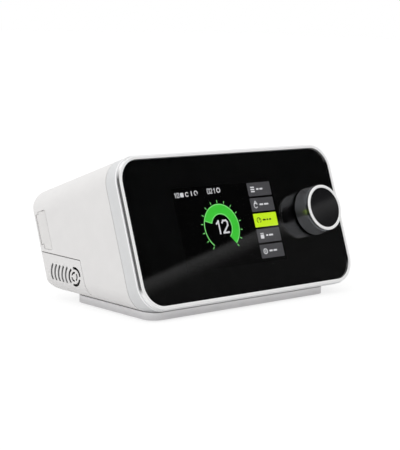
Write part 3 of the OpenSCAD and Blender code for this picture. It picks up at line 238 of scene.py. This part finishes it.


# Painted shade on the housing's lip over the filter cover, back to the cover's top front corner
LIP_LOW, LIP_HIGH = -0.1 * MM, 0.55 * MM
COVER_TOP_BAND = 0.5 * MM
cover_front = min(v.co.y for v in NODES["filter_cover"].data.vertices
                  if v.co.z > cover_hi.z - COVER_TOP_BAND)
PAINTED_LIP_SHADE = [(cover_hi, UP, LIP_LOW, LIP_HIGH, SHARP),
             (Vector((0, cover_front, 0)), BACK, 0, FAR, SHARP),
             (cover_hi, LEFT, 0, FAR, SHARP)]
# Painted highlight on the frame's front edge
FRAME_EDGE_N = -3.4 * MM
PAINTED_EDGE_HIGHLIGHT = [(HOME, N_DIR, FRAME_EDGE_N, FAR, SHARP)]
# Painted shade on the bead's outer wall round the window, under its crown, away from its corners
CROWN_N = 0.1 * MM
WALL_LOW_U, WALL_LOW_FADE = 13 * MM, 4 * MM
WALL_HIGH_U, WALL_HIGH_FADE = 84 * MM, 8 * MM
PAINTED_BEAD_SHADE = [(HOME, N_DIR, -FAR, CROWN_N, SHARP), (HOME, U_DIR, WALL_LOW_U, FAR, WALL_LOW_FADE),
             (HOME, U_DIR, -FAR, WALL_HIGH_U, WALL_HIGH_FADE)]
# The side of the knob's ring, behind its bright front
RING_FRONT_T = 0.9 * MM
ring_front = max((v.co - HOME).dot(N_DIR) for v in NODES["knob_ring"].data.vertices)
RING_SIDE = [(HOME, N_DIR, -FAR, ring_front - RING_FRONT_T, SHARP)]
# Painted light: the base plate's upper edge is paler, lighter towards the top
EDGE_T, EDGE_FADE = 0.8 * MM, 2.5 * MM
PAINTED_TOP_LIGHT = [(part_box("base_plate")[1], UP, -EDGE_T, FAR, EDGE_FADE)]

# Noise, gloss and relief that the finishes share
NOISE_LOW, NOISE_HIGH = 0.3, 0.7  # noise stays mostly between these
SLOW_DETAIL = 2.0
GRAIN_DETAIL, GRAIN_ROUGH = 4.0, 0.6
GRAIN_DEPTH = 0.2 * MM
LEAST_ROUGH = 0.02
PLASTIC_IOR = 1.5
COAT_ROUGH = 0.08


def surface(name, colour, rough, metal=0.0, vary=0.03, patch=90.0, grain=5200.0, bump=0.02,
            coat=0.0, rough_vary=0.05, stretch=(1, 1, 1), specular=0.5, zones=(), turned=None,
            zone_metal=None):
    """Moulded, painted or turned surface, with slow patches of colour (vary and patch) and a fine
    grain, which is stretched, or is the grooves of a lathe around an axis (turned). zones are
    regions of another colour, and zone_metal is how much of a metal the first of them is."""
    mat, kit, bsdf = new_material(name)
    coords = kit.object_coords()
    base = kit.ramp(kit.noise(coords, patch, SLOW_DETAIL),
                    [(NOISE_LOW, shade(colour, 1 - vary)), (NOISE_HIGH, shade(colour, 1 + vary))])
    insides = [region(kit, coords) for region, _ in zones]
    for inside, (_, other) in zip(insides, zones):
        base = kit.mixed("RGBA", inside, base, (*other, 1))
    kit.link(base, bsdf.inputs["Base Color"])
    if turned:
        depth = kit.along(coords, HOME, turned)
        lay = kit.add("ShaderNodeCombineXYZ", in_X=depth).outputs["Vector"]
    else:
        lay = kit.add("ShaderNodeMapping", in_Scale=stretch, in_Vector=coords).outputs["Vector"]
    fine = kit.noise(lay, grain, GRAIN_DETAIL, GRAIN_ROUGH)
    kit.link(kit.mapped(fine, NOISE_LOW, NOISE_HIGH, max(rough - rough_vary, LEAST_ROUGH),
                        rough + rough_vary), bsdf.inputs["Roughness"])
    kit.relief(fine, bump, GRAIN_DEPTH, bsdf)
    bsdf.inputs["Metallic"].default_value = metal
    if zone_metal is not None:
        kit.link(kit.mapped(insides[0], 0, 1, metal, zone_metal), bsdf.inputs["Metallic"])
    bsdf.inputs["Specular IOR Level"].default_value = specular
    bsdf.inputs["IOR"].default_value = PLASTIC_IOR
    bsdf.inputs["Coat Weight"].default_value = coat
    bsdf.inputs["Coat Roughness"].default_value = COAT_ROUGH
    return mat


def glow(name, colour, patch=60.0, dim=0.94):
    """Lit pixels of the display, with the faint unevenness of its backlight."""
    mat, kit, bsdf = new_material(name)
    slow = kit.noise(kit.object_coords(), patch, SLOW_DETAIL)
    lit = kit.ramp(slow, [(NOISE_LOW, shade(colour, dim)), (NOISE_HIGH, colour)])
    kit.link(lit, bsdf.inputs["Emission Color"])
    bsdf.inputs["Emission Strength"].default_value = 1.0
    bsdf.inputs["Base Color"].default_value = (0.01, 0.01, 0.01, 1)
    bsdf.inputs["Roughness"].default_value = 0.4
    return mat


def window_glass(patch=25.0, rough=(0.01, 0.022)):
    """Clear window over the black print and the display, with a faint smear in its gloss."""
    mat, kit, bsdf = new_material("window_glass")
    smear = kit.noise(kit.object_coords(), patch, SLOW_DETAIL)
    kit.link(kit.mapped(smear, NOISE_LOW, NOISE_HIGH, *rough), bsdf.inputs["Roughness"])
    bsdf.inputs["Base Color"].default_value = (0.95, 0.955, 0.96, 1)
    bsdf.inputs["Transmission Weight"].default_value = 1.0
    bsdf.inputs["IOR"].default_value = 1.45
    return mat


def board_material(trace_scale=260.0, spot_scale=420.0):
    """Solder-masked circuit board with traces and plated spots."""
    trace_green, pad_gold = (0.05, 0.27, 0.12), (0.62, 0.55, 0.32, 1)
    mask_edge, mask_green = (0.012, 0.12, 0.05), (0.014, 0.13, 0.055)
    mat, kit, bsdf = new_material("circuit_board")
    coords = kit.object_coords()
    trace = kit.add("ShaderNodeTexVoronoi", feature="DISTANCE_TO_EDGE", distance="MANHATTAN",
                    in_Vector=coords, in_Scale=trace_scale).outputs[0]
    lines = kit.ramp(trace, [(0.0, trace_green), (0.06, trace_green), (0.09, mask_edge),
                             (1.0, mask_green)])
    spots = kit.add("ShaderNodeTexVoronoi", in_Vector=coords, in_Scale=spot_scale)
    dots = kit.mapped(spots.outputs["Distance"], 0.08, 0.11, 1.0, 0.0)
    kit.link(kit.mixed("RGBA", dots, lines, pad_gold), bsdf.inputs["Base Color"])
    kit.relief(trace, 0.25, 0.1 * MM, bsdf)
    bsdf.inputs["Roughness"].default_value = 0.35
    bsdf.inputs["Coat Weight"].default_value = 0.3
    return mat


SHELL_WHITE = (0.80, 0.788, 0.782)
# The shell's dark zone is painted shade in the seam over the filter cover
SHELL = surface("shell_plastic", SHELL_WHITE, 0.42, vary=0.012, grain=3800, bump=0.05,
                zones=[(zone(PAINTED_LIP_SHADE), (0.12, 0.11, 0.105))])
# The cover's dark zones are painted shade on the walls of the louvre's ring and slots
COVER = surface("cover_plastic", SHELL_WHITE, 0.42, vary=0.012, grain=3800, bump=0.05,
                zones=[(painted_louvre_shade(RING_PART), (0.015, 0.015, 0.016)),
                       (painted_louvre_shade(SLOT_PART), (0.36, 0.36, 0.362))])
DOOR = surface("door_plastic", (0.775, 0.762, 0.752), 0.42, vary=0.012, grain=3800, bump=0.05)
# The frame's pale zone is a painted highlight on its front edge
FRAME = surface("frame_paint", (0.69, 0.695, 0.70), 0.36, metal=0.1, vary=0.02, grain=9000,
                bump=0.03, coat=0.1, zones=[(zone(PAINTED_EDGE_HIGHLIGHT), (0.93, 0.93, 0.935))])
# The trim's dark zone is painted shade on the bead's outer wall
TRIM = surface("bright_trim", (0.985, 0.985, 0.985), 0.12, vary=0.005, grain=6000, bump=0.01,
               rough_vary=0.04, coat=1.0, zones=[(zone(PAINTED_BEAD_SHADE), (0.03, 0.03, 0.032))])
KNOB_METAL = (0.42, 0.43, 0.45)
CHROME = surface("knob_bright", (0.985, 0.985, 0.985), 0.16, vary=0.005, grain=6000, bump=0.01,
                 rough_vary=0.04, coat=0.8, zones=[(zone(RING_SIDE), KNOB_METAL)],
                 zone_metal=1.0)
GLASS = window_glass()
MASK = surface("mask_print", (0.0038, 0.0038, 0.004), 0.6, vary=0.2, grain=9000, specular=0.05)
KNOB = surface("knob_metal", KNOB_METAL, 0.21, metal=1.0, vary=0.05, patch=220, grain=5000,
               bump=0.15, turned=N_DIR)
CAP = surface("knob_disc", (0.0065, 0.0065, 0.0075), 0.03, vary=0.15, grain=2500, bump=0.002,
              rough_vary=0.01, coat=1.0)
# The base's pale zone is painted light along its upper edge
BASE = surface("base_plastic", (0.62, 0.612, 0.62), 0.45, vary=0.02, grain=4200, bump=0.06,
               zones=[(zone(PAINTED_TOP_LIGHT), (0.76, 0.752, 0.76))])
RUBBER = surface("foot_rubber", (0.035, 0.035, 0.036), 0.75, vary=0.15, grain=2600, bump=0.2)
STEEL = surface("screw_steel", (0.62, 0.62, 0.63), 0.30, metal=1.0, vary=0.06, grain=3000,
                bump=0.05, stretch=(1, 1, 8))
SCREEN = surface("screen_glass", (0.0012, 0.0012, 0.0014), 0.2, vary=0.2, grain=5000, bump=0.0,
                 specular=0.08)
FLEX = surface("flex_amber", (0.45, 0.2, 0.03), 0.3, vary=0.1, patch=400, grain=5000,
               stretch=(40, 1, 1))
CELL = surface("cell_steel", (0.66, 0.67, 0.68), 0.25, metal=1.0, vary=0.04, grain=3000)
BLACK = surface("black_moulding", (0.02, 0.02, 0.021), 0.45, vary=0.15, grain=3500, bump=0.08)
ENCODER = surface("encoder_case", (0.55, 0.55, 0.56), 0.32, metal=0.9, vary=0.05, grain=4000,
                  bump=0.05)
PLUNGER = surface("plunger_red", (0.5, 0.05, 0.03), 0.4, vary=0.06, grain=4000)
DUCT = surface("duct_grey", (0.17, 0.175, 0.18), 0.6, vary=0.05, grain=3000, bump=0.1)
SOFT = surface("soft_grey", (0.2, 0.2, 0.205), 0.7, vary=0.06, grain=2500, bump=0.12)
SEAL = surface("seal_black", (0.02, 0.02, 0.02), 0.7, vary=0.12, grain=2500, bump=0.12)
MOUNT = surface("mount_red", (0.38, 0.06, 0.04), 0.65, vary=0.08, grain=2500, bump=0.12)
FOAM = surface("foam_dark", (0.06, 0.06, 0.065), 0.95, vary=0.3, patch=900, grain=1400, bump=1.0)
FIBRE = surface("filter_fibre", (0.03, 0.031, 0.033), 0.95, vary=0.1, patch=500, grain=2600,
                bump=0.9, stretch=(1, 1, 4))
WHEEL = surface("wheel_white", (0.82, 0.82, 0.83), 0.35, vary=0.02, grain=4000, bump=0.04)
SCROLL = surface("scroll_white", (0.74, 0.74, 0.75), 0.42, vary=0.02, grain=3600, bump=0.06)
BOX = surface("airbox_grey", (0.06, 0.061, 0.064), 0.5, grain=3600, bump=0.06)
MAGNET = surface("magnet_dark", (0.09, 0.09, 0.1), 0.35, metal=0.8, vary=0.1, grain=2500,
                 bump=0.08)
COPPER = surface("winding_copper", (0.62, 0.27, 0.12), 0.35, metal=0.9, vary=0.12, patch=300,
                 grain=1500, bump=0.6, stretch=(1, 1, 9))
PORT = surface("port_plastic", (0.72, 0.72, 0.725), 0.4, vary=0.015, grain=3800, bump=0.05)
CARD = surface("card_blue", (0.03, 0.05, 0.13), 0.4, vary=0.08, grain=4000, bump=0.05)
BOARD = board_material()

LOOKS = {
    "housing": SHELL, "front_frame": FRAME, "trim_ring": TRIM, "front_lens": GLASS,
    "lens_mask": MASK, "display_panel": SCREEN, "display_bracket": STEEL, "display_flex": FLEX,
    "main_board": BOARD, "clock_battery": CELL, "speaker": BLACK, "board_screws": STEEL,
    "encoder_body": ENCODER, "switch_plunger": PLUNGER, "encoder_shaft": STEEL,
    "knob_body": KNOB, "knob_ring": CHROME, "knob_cap": CAP, "base_plate": BASE,
    "rubber_feet": RUBBER, "base_screws": STEEL, "filter_cover": COVER, "air_filter": FIBRE,
    "filter_holder": BOX, "air_box": BOX, "air_box_lid": BOX, "muffler_foam": FOAM,
    "inlet_elbow": SOFT, "blower_top": SCROLL, "blower_bottom": SCROLL, "blower_screws": STEEL,
    "blower_mounts": MOUNT, "impeller": WHEEL, "motor_stator": COPPER, "rotor_magnet": MAGNET,
    "motor_shaft": STEEL, "motor_bearings": STEEL, "motor_cable": BLACK, "power_cable": BLACK,
    "outlet_duct": DUCT, "outlet_seal": SEAL, "outlet_port": PORT, "flow_sensor": BLACK,
    "power_board": BOARD, "dc_jack": BLACK, "card_door": DOOR, "door_pin": STEEL,
    "card_reader": ENCODER, "memory_card": CARD,
}
for node_name, obj in NODES.items():
    obj.data.materials.clear()
    obj.data.materials.append(LOOKS[node_name])


# Outlines: closed lists of (x, u) points of the face frame, in millimetres
def rounded(x0, u0, x1, u1, r, steps=3):
    """Rectangle with round corners."""
    corners = ((x1 - r, u1 - r, 0), (x0 + r, u1 - r, 90), (x0 + r, u0 + r, 180),
               (x1 - r, u0 + r, 270))
    pts = []
    for cx, cu, start in corners:
        for k in range(steps + 1):
            a = math.radians(start + 90 * k / steps)
            pts.append((cx + r * math.cos(a), cu + r * math.sin(a)))
    return pts


def arc_band(cx, cu, r0, r1, a0, a1, steps=24):
    """Band between two radii, from one angle to another, in degrees."""
    def arc(r, start, turn):
        angles = [math.radians(start + turn * k / steps) for k in range(steps + 1)]
        return [(cx + r * math.cos(a), cu + r * math.sin(a)) for a in angles]
    return arc(r1, a0, a1 - a0) + arc(r0, a1, a0 - a1)


def disc(cx, cu, r, steps=20):
    angles = [2 * math.pi * k / steps for k in range(steps)]
    return [(cx + r * math.cos(a), cu + r * math.sin(a)) for a in angles]


def stroke(points, width):
    """Bars that follow a path, one for each of its straight runs."""
    bars = []
    for (xa, ua), (xb, ub) in zip(points, points[1:]):
        d = math.hypot(xb - xa, ub - ua)
        ex, eu = (xb - xa) / d * width / 2, (ub - ua) / d * width / 2
        bars.append([(xa - ex - eu, ua - eu + ex), (xa - ex + eu, ua - eu - ex),
                     (xb + ex + eu, ub + eu - ex), (xb + ex - eu, ub + eu + ex)])
    return bars


DIGITS = {
    "0": [(0.15, 0), (0.85, 0), (1, 0.12), (1, 0.88), (0.85, 1), (0.15, 1), (0, 0.88), (0, 0.12),
          (0.15, 0)],
    "1": [(0.15, 0.8), (0.55, 1), (0.55, 0)],
    "2": [(0, 0.85), (0.2, 1), (0.8, 1), (1, 0.85), (1, 0.6), (0, 0.02), (1, 0.02)],
}
DIGIT_SHAPE = 0.55  # a digit's width for a height of 1


def digits(text, x, u, height, width, gap):
    """Number drawn with strokes of a width, from its lower left corner."""
    bars = []
    for ch in text:
        path = [(x + px * height * DIGIT_SHAPE, u + pu * height) for px, pu in DIGITS[ch]]
        bars += stroke(path, width)
        x += height * DIGIT_SHAPE + gap
    return bars


def walled(bm, points, n_top, n_low):
    """Upper and lower ring of an outline's vertices, joined by walls."""
    top = [bm.verts.new(face(x, u, n_top)) for x, u in points]
    low = [bm.verts.new(face(x, u, n_low)) for x, u in points]
    for i in range(len(points)):
        j = (i + 1) % len(points)
        bm.faces.new((top[j], top[i], low[i], low[j]))
    return top, low


def case_piece(name, bm, mat):
    """Piece that rides on the case, from a finished bmesh."""
    bmesh.ops.recalc_face_normals(bm, faces=bm.faces)
    mesh = bpy.data.meshes.new(name)
    bm.to_mesh(mesh)
    bm.free()
    obj = bpy.data.objects.new(name, mesh)
    bpy.context.scene.collection.objects.link(obj)
    mesh.materials.append(mat)
    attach(obj, "case")
    return obj


LIT_N = -2.48  # height of the lit layer, over the display and under the window
LIT_T = 0.015


def lit_piece(name, outlines, mat, lift=0.0):
    """Thin lit layer over the display, with an outline for each of its parts."""
    n = LIT_N + lift
    bm = bmesh.new()
    for points in outlines:
        top, low = walled(bm, points, n, n - LIT_T)
        bm.faces.new(top)
        bm.faces.new(list(reversed(low)))
    return case_piece(name, bm, mat)


def pierced_sheet(name, outer, holes, n_top, n_low, mat, node):
    """Flat sheet with holes that stands for a CAD node."""
    bm = bmesh.new()
    tops, lows = [], []
    for points in [outer] + holes:
        for ring, edges in zip(walled(bm, points, n_top, n_low), (tops, lows)):
            edges.extend(bm.edges.get(pair) for pair in zip(ring, ring[1:] + ring[:1]))
    bmesh.ops.triangle_fill(bm, use_beauty=True, edges=tops, normal=N_DIR)
    bmesh.ops.triangle_fill(bm, use_beauty=True, edges=lows, normal=-N_DIR)
    obj = case_piece(name, bm, mat)
    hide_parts(node)
    return obj


# Black print behind the window, a hair's breadth away so that the glass keeps its own back face.
# It has holes for the screen and for the knob's shaft
GLASS_R = 15
PRINT_INSET = 0.2
PRINT_GAP, PRINT_T = 0.04, 0.3
SCREEN_X, SCREEN_U, SCREEN_W, SCREEN_H = -10, 47.2, 91.8, 56
SHAFT_HOLE_R = 3.7
knob_at = Vector(knob_turn["pos_m"]) - HOME
half_w_mm = GLASS_W / MM / 2
print_top = -GLASS_T / MM - PRINT_GAP
pierced_sheet(
    "window_print",
    rounded(-half_w_mm + PRINT_INSET, PRINT_INSET, half_w_mm - PRINT_INSET,
            GLASS_H / MM - PRINT_INSET, GLASS_R - PRINT_INSET, 12),
    [[(SCREEN_X + a * SCREEN_W / 2, SCREEN_U + b * SCREEN_H / 2)
      for a, b in ((-1, -1), (1, -1), (1, 1), (-1, 1))],
     disc(knob_at.dot(X_DIR) / MM, knob_at.dot(U_DIR) / MM, SHAFT_HOLE_R, 32)],
    print_top, print_top - PRINT_T, MASK, "lens_mask")

TILE_GREY = glow("tile_grey", (0.062, 0.061, 0.066))
TILE_LIT = glow("tile_lime", (0.62, 0.93, 0.012))
PIXEL_WHITE = glow("pixel_white", (0.72, 0.72, 0.74))
PIXEL_DARK = glow("pixel_dark", (0.02, 0.03, 0.005))
PIXEL_GREEN = glow("pixel_green", (0.045, 0.60, 0.035))
PIXEL_PALE = glow("pixel_pale_green", (0.22, 0.82, 0.2))

# Menu: five tiles at the display's right side, the middle one lit, each with a sign and bars in
# the place of words
TILE_X0, TILE_X1 = 13.2, 35.3
TILE_TOP, TILE_PITCH, TILE_H, TILE_R = 74.7, 10.87, 9.5, 0.5
CHOICE = 2
SIGN_IN, WORDS_IN = 4.6, 3.7
WORD_LOW, WORD_HIGH, WORD_R, WORD_GAP = -0.55, 0.65, 0.45, 0.8
WORDS = ((2.2, 3.0), (3.6, 4.2), (2.8, 1.6, 2.0), (2.0, 4.0), (3.2, 3.4))
MARK_LIFT = 0.03


def menu_sign(row, x, u):
    """Plain sign of a menu row: a list, an arc under a roof, a dial, a box under a bar, a wheel."""
    if row == 0:
        return [rounded(x - 1.8, u + k * 1.5 - 0.45, x + 1.8, u + k * 1.5 + 0.45, 0.3)
                for k in (-1, 0, 1)]
    if row == 1:
        roof = stroke([(x - 1.5, u + 0.4), (x, u + 2.6), (x + 1.5, u + 0.4)], 0.55)
        return [arc_band(x, u - 0.5, 1.3, 1.9, 30, 330)] + roof
    if row == 2:
        return [arc_band(x, u, 1.5, 2.1, -60, 240)] + stroke([(x, u), (x + 0.9, u + 1.0)], 0.55)
    if row == 3:
        bar = stroke([(x - 1.3, u + 1.6), (x + 1.3, u + 1.6)], 0.6)
        return [rounded(x - 1.6, u - 2.0, x + 1.6, u + 0.8, 0.3)] + bar
    return [arc_band(x, u, 1.3, 2.0, 0, 359), disc(x, u, 0.55)]


tiles, marks = [], []
for row, words in enumerate(WORDS):
    u1 = TILE_TOP - row * TILE_PITCH
    u0 = u1 - TILE_H
    mid = (u0 + u1) / 2
    tiles.append(rounded(TILE_X0, u0, TILE_X1, u1, TILE_R))
    shapes = menu_sign(row, TILE_X0 + SIGN_IN, mid)
    x = TILE_X0 + SIGN_IN + WORDS_IN
    for length in words:
        shapes.append(rounded(x, mid + WORD_LOW, x + length, mid + WORD_HIGH, WORD_R))
        x += length + WORD_GAP
    marks.append(shapes)
choice_tile, choice_marks = tiles.pop(CHOICE), marks.pop(CHOICE)
lit_piece("screen_menu_tiles", tiles, TILE_GREY)
lit_piece("screen_menu_choice", [choice_tile], TILE_LIT)
lit_piece("screen_menu_marks", sum(marks, []), PIXEL_WHITE, MARK_LIFT)
lit_piece("screen_choice_marks", choice_marks, PIXEL_DARK, MARK_LIFT)

# Pressure gauge: a broad green arc with a pale rim, ticks and a number. Angles are in degrees
GAUGE = (-17.5, 46.5)
GAUGE_START, GAUGE_LEVEL, GAUGE_END = -50, 158, 230
BAND_R, OUTER_RIM_R, INNER_RIM_R = (9.4, 15.2), (15.2, 15.9), (8.7, 9.4)
END_RIM_R, END_RIM_ANGLES = (8.7, 15.15), (158.2, 161)
TICKS, TICK_PITCH, TICK_R, TICK_WIDTH = 15, 20, (16.8, 18.2), 0.5
NUMBER_AT = (GAUGE[0] - 5.0, GAUGE[1] - 4.2)
RIM_LIFT, NUMBER_LIFT = 0.01, 0.02
lit_piece("screen_gauge", [arc_band(*GAUGE, *BAND_R, GAUGE_START, GAUGE_LEVEL, 48)], PIXEL_GREEN)
lit_piece("screen_gauge_rims", [arc_band(*GAUGE, *OUTER_RIM_R, GAUGE_START, GAUGE_END, 60),
                                arc_band(*GAUGE, *INNER_RIM_R, GAUGE_START, GAUGE_LEVEL, 48),
                                arc_band(*GAUGE, *END_RIM_R, *END_RIM_ANGLES, 1)],
          PIXEL_PALE, RIM_LIFT)
ticks = []
for k in range(TICKS):
    a = math.radians(GAUGE_START + TICK_PITCH * k)
    ticks += stroke([(GAUGE[0] + r * math.cos(a), GAUGE[1] + r * math.sin(a)) for r in TICK_R],
                    TICK_WIDTH)
lit_piece("screen_gauge_ticks", ticks, PIXEL_PALE, RIM_LIFT)
lit_piece("screen_gauge_number", digits("12", *NUMBER_AT, height=8.4, width=1.2, gap=1.2),
          PIXEL_WHITE, NUMBER_LIFT)

# Status row: plain marks and numbers, from left to right but for the last number
STATUS_STROKE = 0.5
lit_piece("screen_status", [
    *digits("10", -53.6, 69.0, height=2.9, width=STATUS_STROKE, gap=0.7),
    rounded(-48.6, 69.0, -45.6, 71.9, 0.4),
    arc_band(-42.6, 70.6, 1.0, 1.6, 30, 330),
    rounded(-38.9, 69.2, -38.1, 72.6, 0.3),
    arc_band(-34.6, 71.0, 1.1, 1.7, -30, 270),
    *digits("02", -24.0, 69.9, height=3.1, width=STATUS_STROKE, gap=0.8),
    arc_band(-14.0, 71.6, 1.1, 1.8, 0, 359),
    *digits("1", -18.4, 69.9, height=3.1, width=STATUS_STROKE, gap=0.8),
], PIXEL_WHITE)

# White floor that keeps a faint shadow of the object. It is plain grey to the light that it
# throws back on the object
FLOOR_HALF, FLOOR_DROP = 8, 0.2 * MM
FLOOR_GREY, SHADOW_GREY, FLOOR_SHOWN = 0.80, 0.27, 0.78


def grey(value):
    return (value, value, value, 1)


def floor_material():
    mat = bpy.data.materials.new("floor")
    mat.use_nodes = True
    kit = Nodes(mat.node_tree)
    out = kit.add("ShaderNodeOutputMaterial")
    path = kit.add("ShaderNodeLightPath")
    shown = kit.maths("MAXIMUM", path.outputs["Is Camera Ray"], path.outputs["Is Glossy Ray"])
    shown = kit.maths("MAXIMUM", shown, path.outputs["Is Transmission Ray"])
    plain = kit.add("ShaderNodeBsdfDiffuse", in_Color=grey(FLOOR_GREY))
    faint = kit.add("ShaderNodeBsdfDiffuse", in_Color=grey(SHADOW_GREY))
    white = kit.add("ShaderNodeEmission", in_Color=grey(1), in_Strength=FLOOR_SHOWN)
    both = kit.add("ShaderNodeAddShader")
    kit.feed_all(both, (faint.outputs[0], white.outputs[0]))
    mix = kit.add("ShaderNodeMixShader")
    kit.feed_all(mix, (shown, plain.outputs[0], both.outputs[0]))
    kit.link(mix.outputs[0], out.inputs["Surface"])
    return mat


floor_mesh = bpy.data.meshes.new("floor")
floor_mesh.from_pydata([(x * FLOOR_HALF, y * FLOOR_HALF, 0)
                        for x, y in ((-1, -1), (1, -1), (1, 1), (-1, 1))], [], [(0, 1, 2, 3)])
floor = bpy.data.objects.new("floor", floor_mesh)
floor.location.z = -FLOOR_DROP
bpy.context.scene.collection.objects.link(floor)
floor_mesh.materials.append(floor_material())

# The room that gloss shows. A span says how far a direction points along an axis, from -1 to 1
FORWARD = (0, -1, 0)
OPENING_EDGE, OPENING_TOP, OPENING_LIGHT = (0.45, 0.53), (0.74, 0.80), 0.012
# Its card: the upper edge, the fall of its light below that edge, and its darker end
CARD_LIGHT = 0.33
CARD_EDGE_AXIS, CARD_EDGE = (-0.2088, 0.2618, 0.9423), (-0.002, 0.002)
CARD_FALL, CARD_FALL_LIGHT = (-0.0135, 0.0), 0.1
CARD_END_AXIS, CARD_END, CARD_END_LIGHT = (0.7, -0.65, 0.3), (0.9, 0.99), 0.3
# The soft light on matt surfaces, from below to above
SOFT_HEIGHT, SOFT_LIGHT = (-0.2, 1.0), (0.52, 0.98)


def studio_world():
    """Soft light that is brighter above. Gloss and glass show a white room with a dark opening in
    front, where the object faces, and in it the edge of a low grey card. The camera sees white."""
    world = bpy.data.worlds.new("studio")
    world.use_nodes = True
    kit = Nodes(world.node_tree)
    out = kit.add("ShaderNodeOutputWorld")
    path = kit.add("ShaderNodeLightPath")
    direction = kit.add("ShaderNodeTexCoord").outputs["Generated"]
    up = kit.add("ShaderNodeSeparateXYZ", in_Vector=direction).outputs["Z"]

    def facing(axis):
        return kit.vector_maths("DOT_PRODUCT", direction, Vector(axis).normalized())

    def soft_step(value, span, to_lo, to_hi):
        return kit.mapped(value, *span, to_lo, to_hi, way="SMOOTHSTEP")

    opening = kit.maths("MULTIPLY", soft_step(facing(FORWARD), OPENING_EDGE, 0.0, 1.0),
                        soft_step(up, OPENING_TOP, 1.0, 0.0))
    over_edge = facing(CARD_EDGE_AXIS)
    card = kit.maths("MULTIPLY", soft_step(over_edge, CARD_EDGE, 1.0, 0.0),
                     soft_step(over_edge, CARD_FALL, CARD_FALL_LIGHT, 1.0))
    card = kit.maths("MULTIPLY", card,
                     soft_step(facing(CARD_END_AXIS), CARD_END, CARD_END_LIGHT, 1.0))
    inside = kit.maths("ADD", kit.maths("MULTIPLY", card, CARD_LIGHT), OPENING_LIGHT)
    mirrored = kit.mixed("FLOAT", opening, 1.0, inside)
    soft = soft_step(up, SOFT_HEIGHT, *SOFT_LIGHT)
    by_gloss = kit.maths("MAXIMUM", path.outputs["Is Glossy Ray"],
                         path.outputs["Is Transmission Ray"])
    light = kit.mixed("FLOAT", by_gloss, soft, mirrored)
    light = kit.mixed("FLOAT", path.outputs["Is Camera Ray"], light, 1.0)
    backdrop = kit.add("ShaderNodeBackground", in_Color=grey(1), in_Strength=light)
    kit.link(backdrop.outputs[0], out.inputs["Surface"])
    return world


LAMP_TARGET = Vector((0, 0, 0.05))
# name, place, side of its square and power
LAMPS = (("left_soft", (-1.3, 0.1, 0.7), 0.9, 3.0), ("top_soft", (-0.1, 0.2, 1.4), 1.0, 2.0))
for name, place, side, power in LAMPS:
    data = bpy.data.lights.new(name, "AREA")
    data.shape = "RECTANGLE"
    data.size = data.size_y = side
    data.energy = power
    lamp = bpy.data.objects.new(name, data)
    bpy.context.scene.collection.objects.link(lamp)
    lamp.location = place
    lamp.rotation_mode = "QUATERNION"
    lamp.rotation_quaternion = (LAMP_TARGET - Vector(place)).to_track_quat("-Z", "Y")

bpy.context.scene.world = studio_world()
bpy.context.scene.view_settings.view_transform = "Standard"
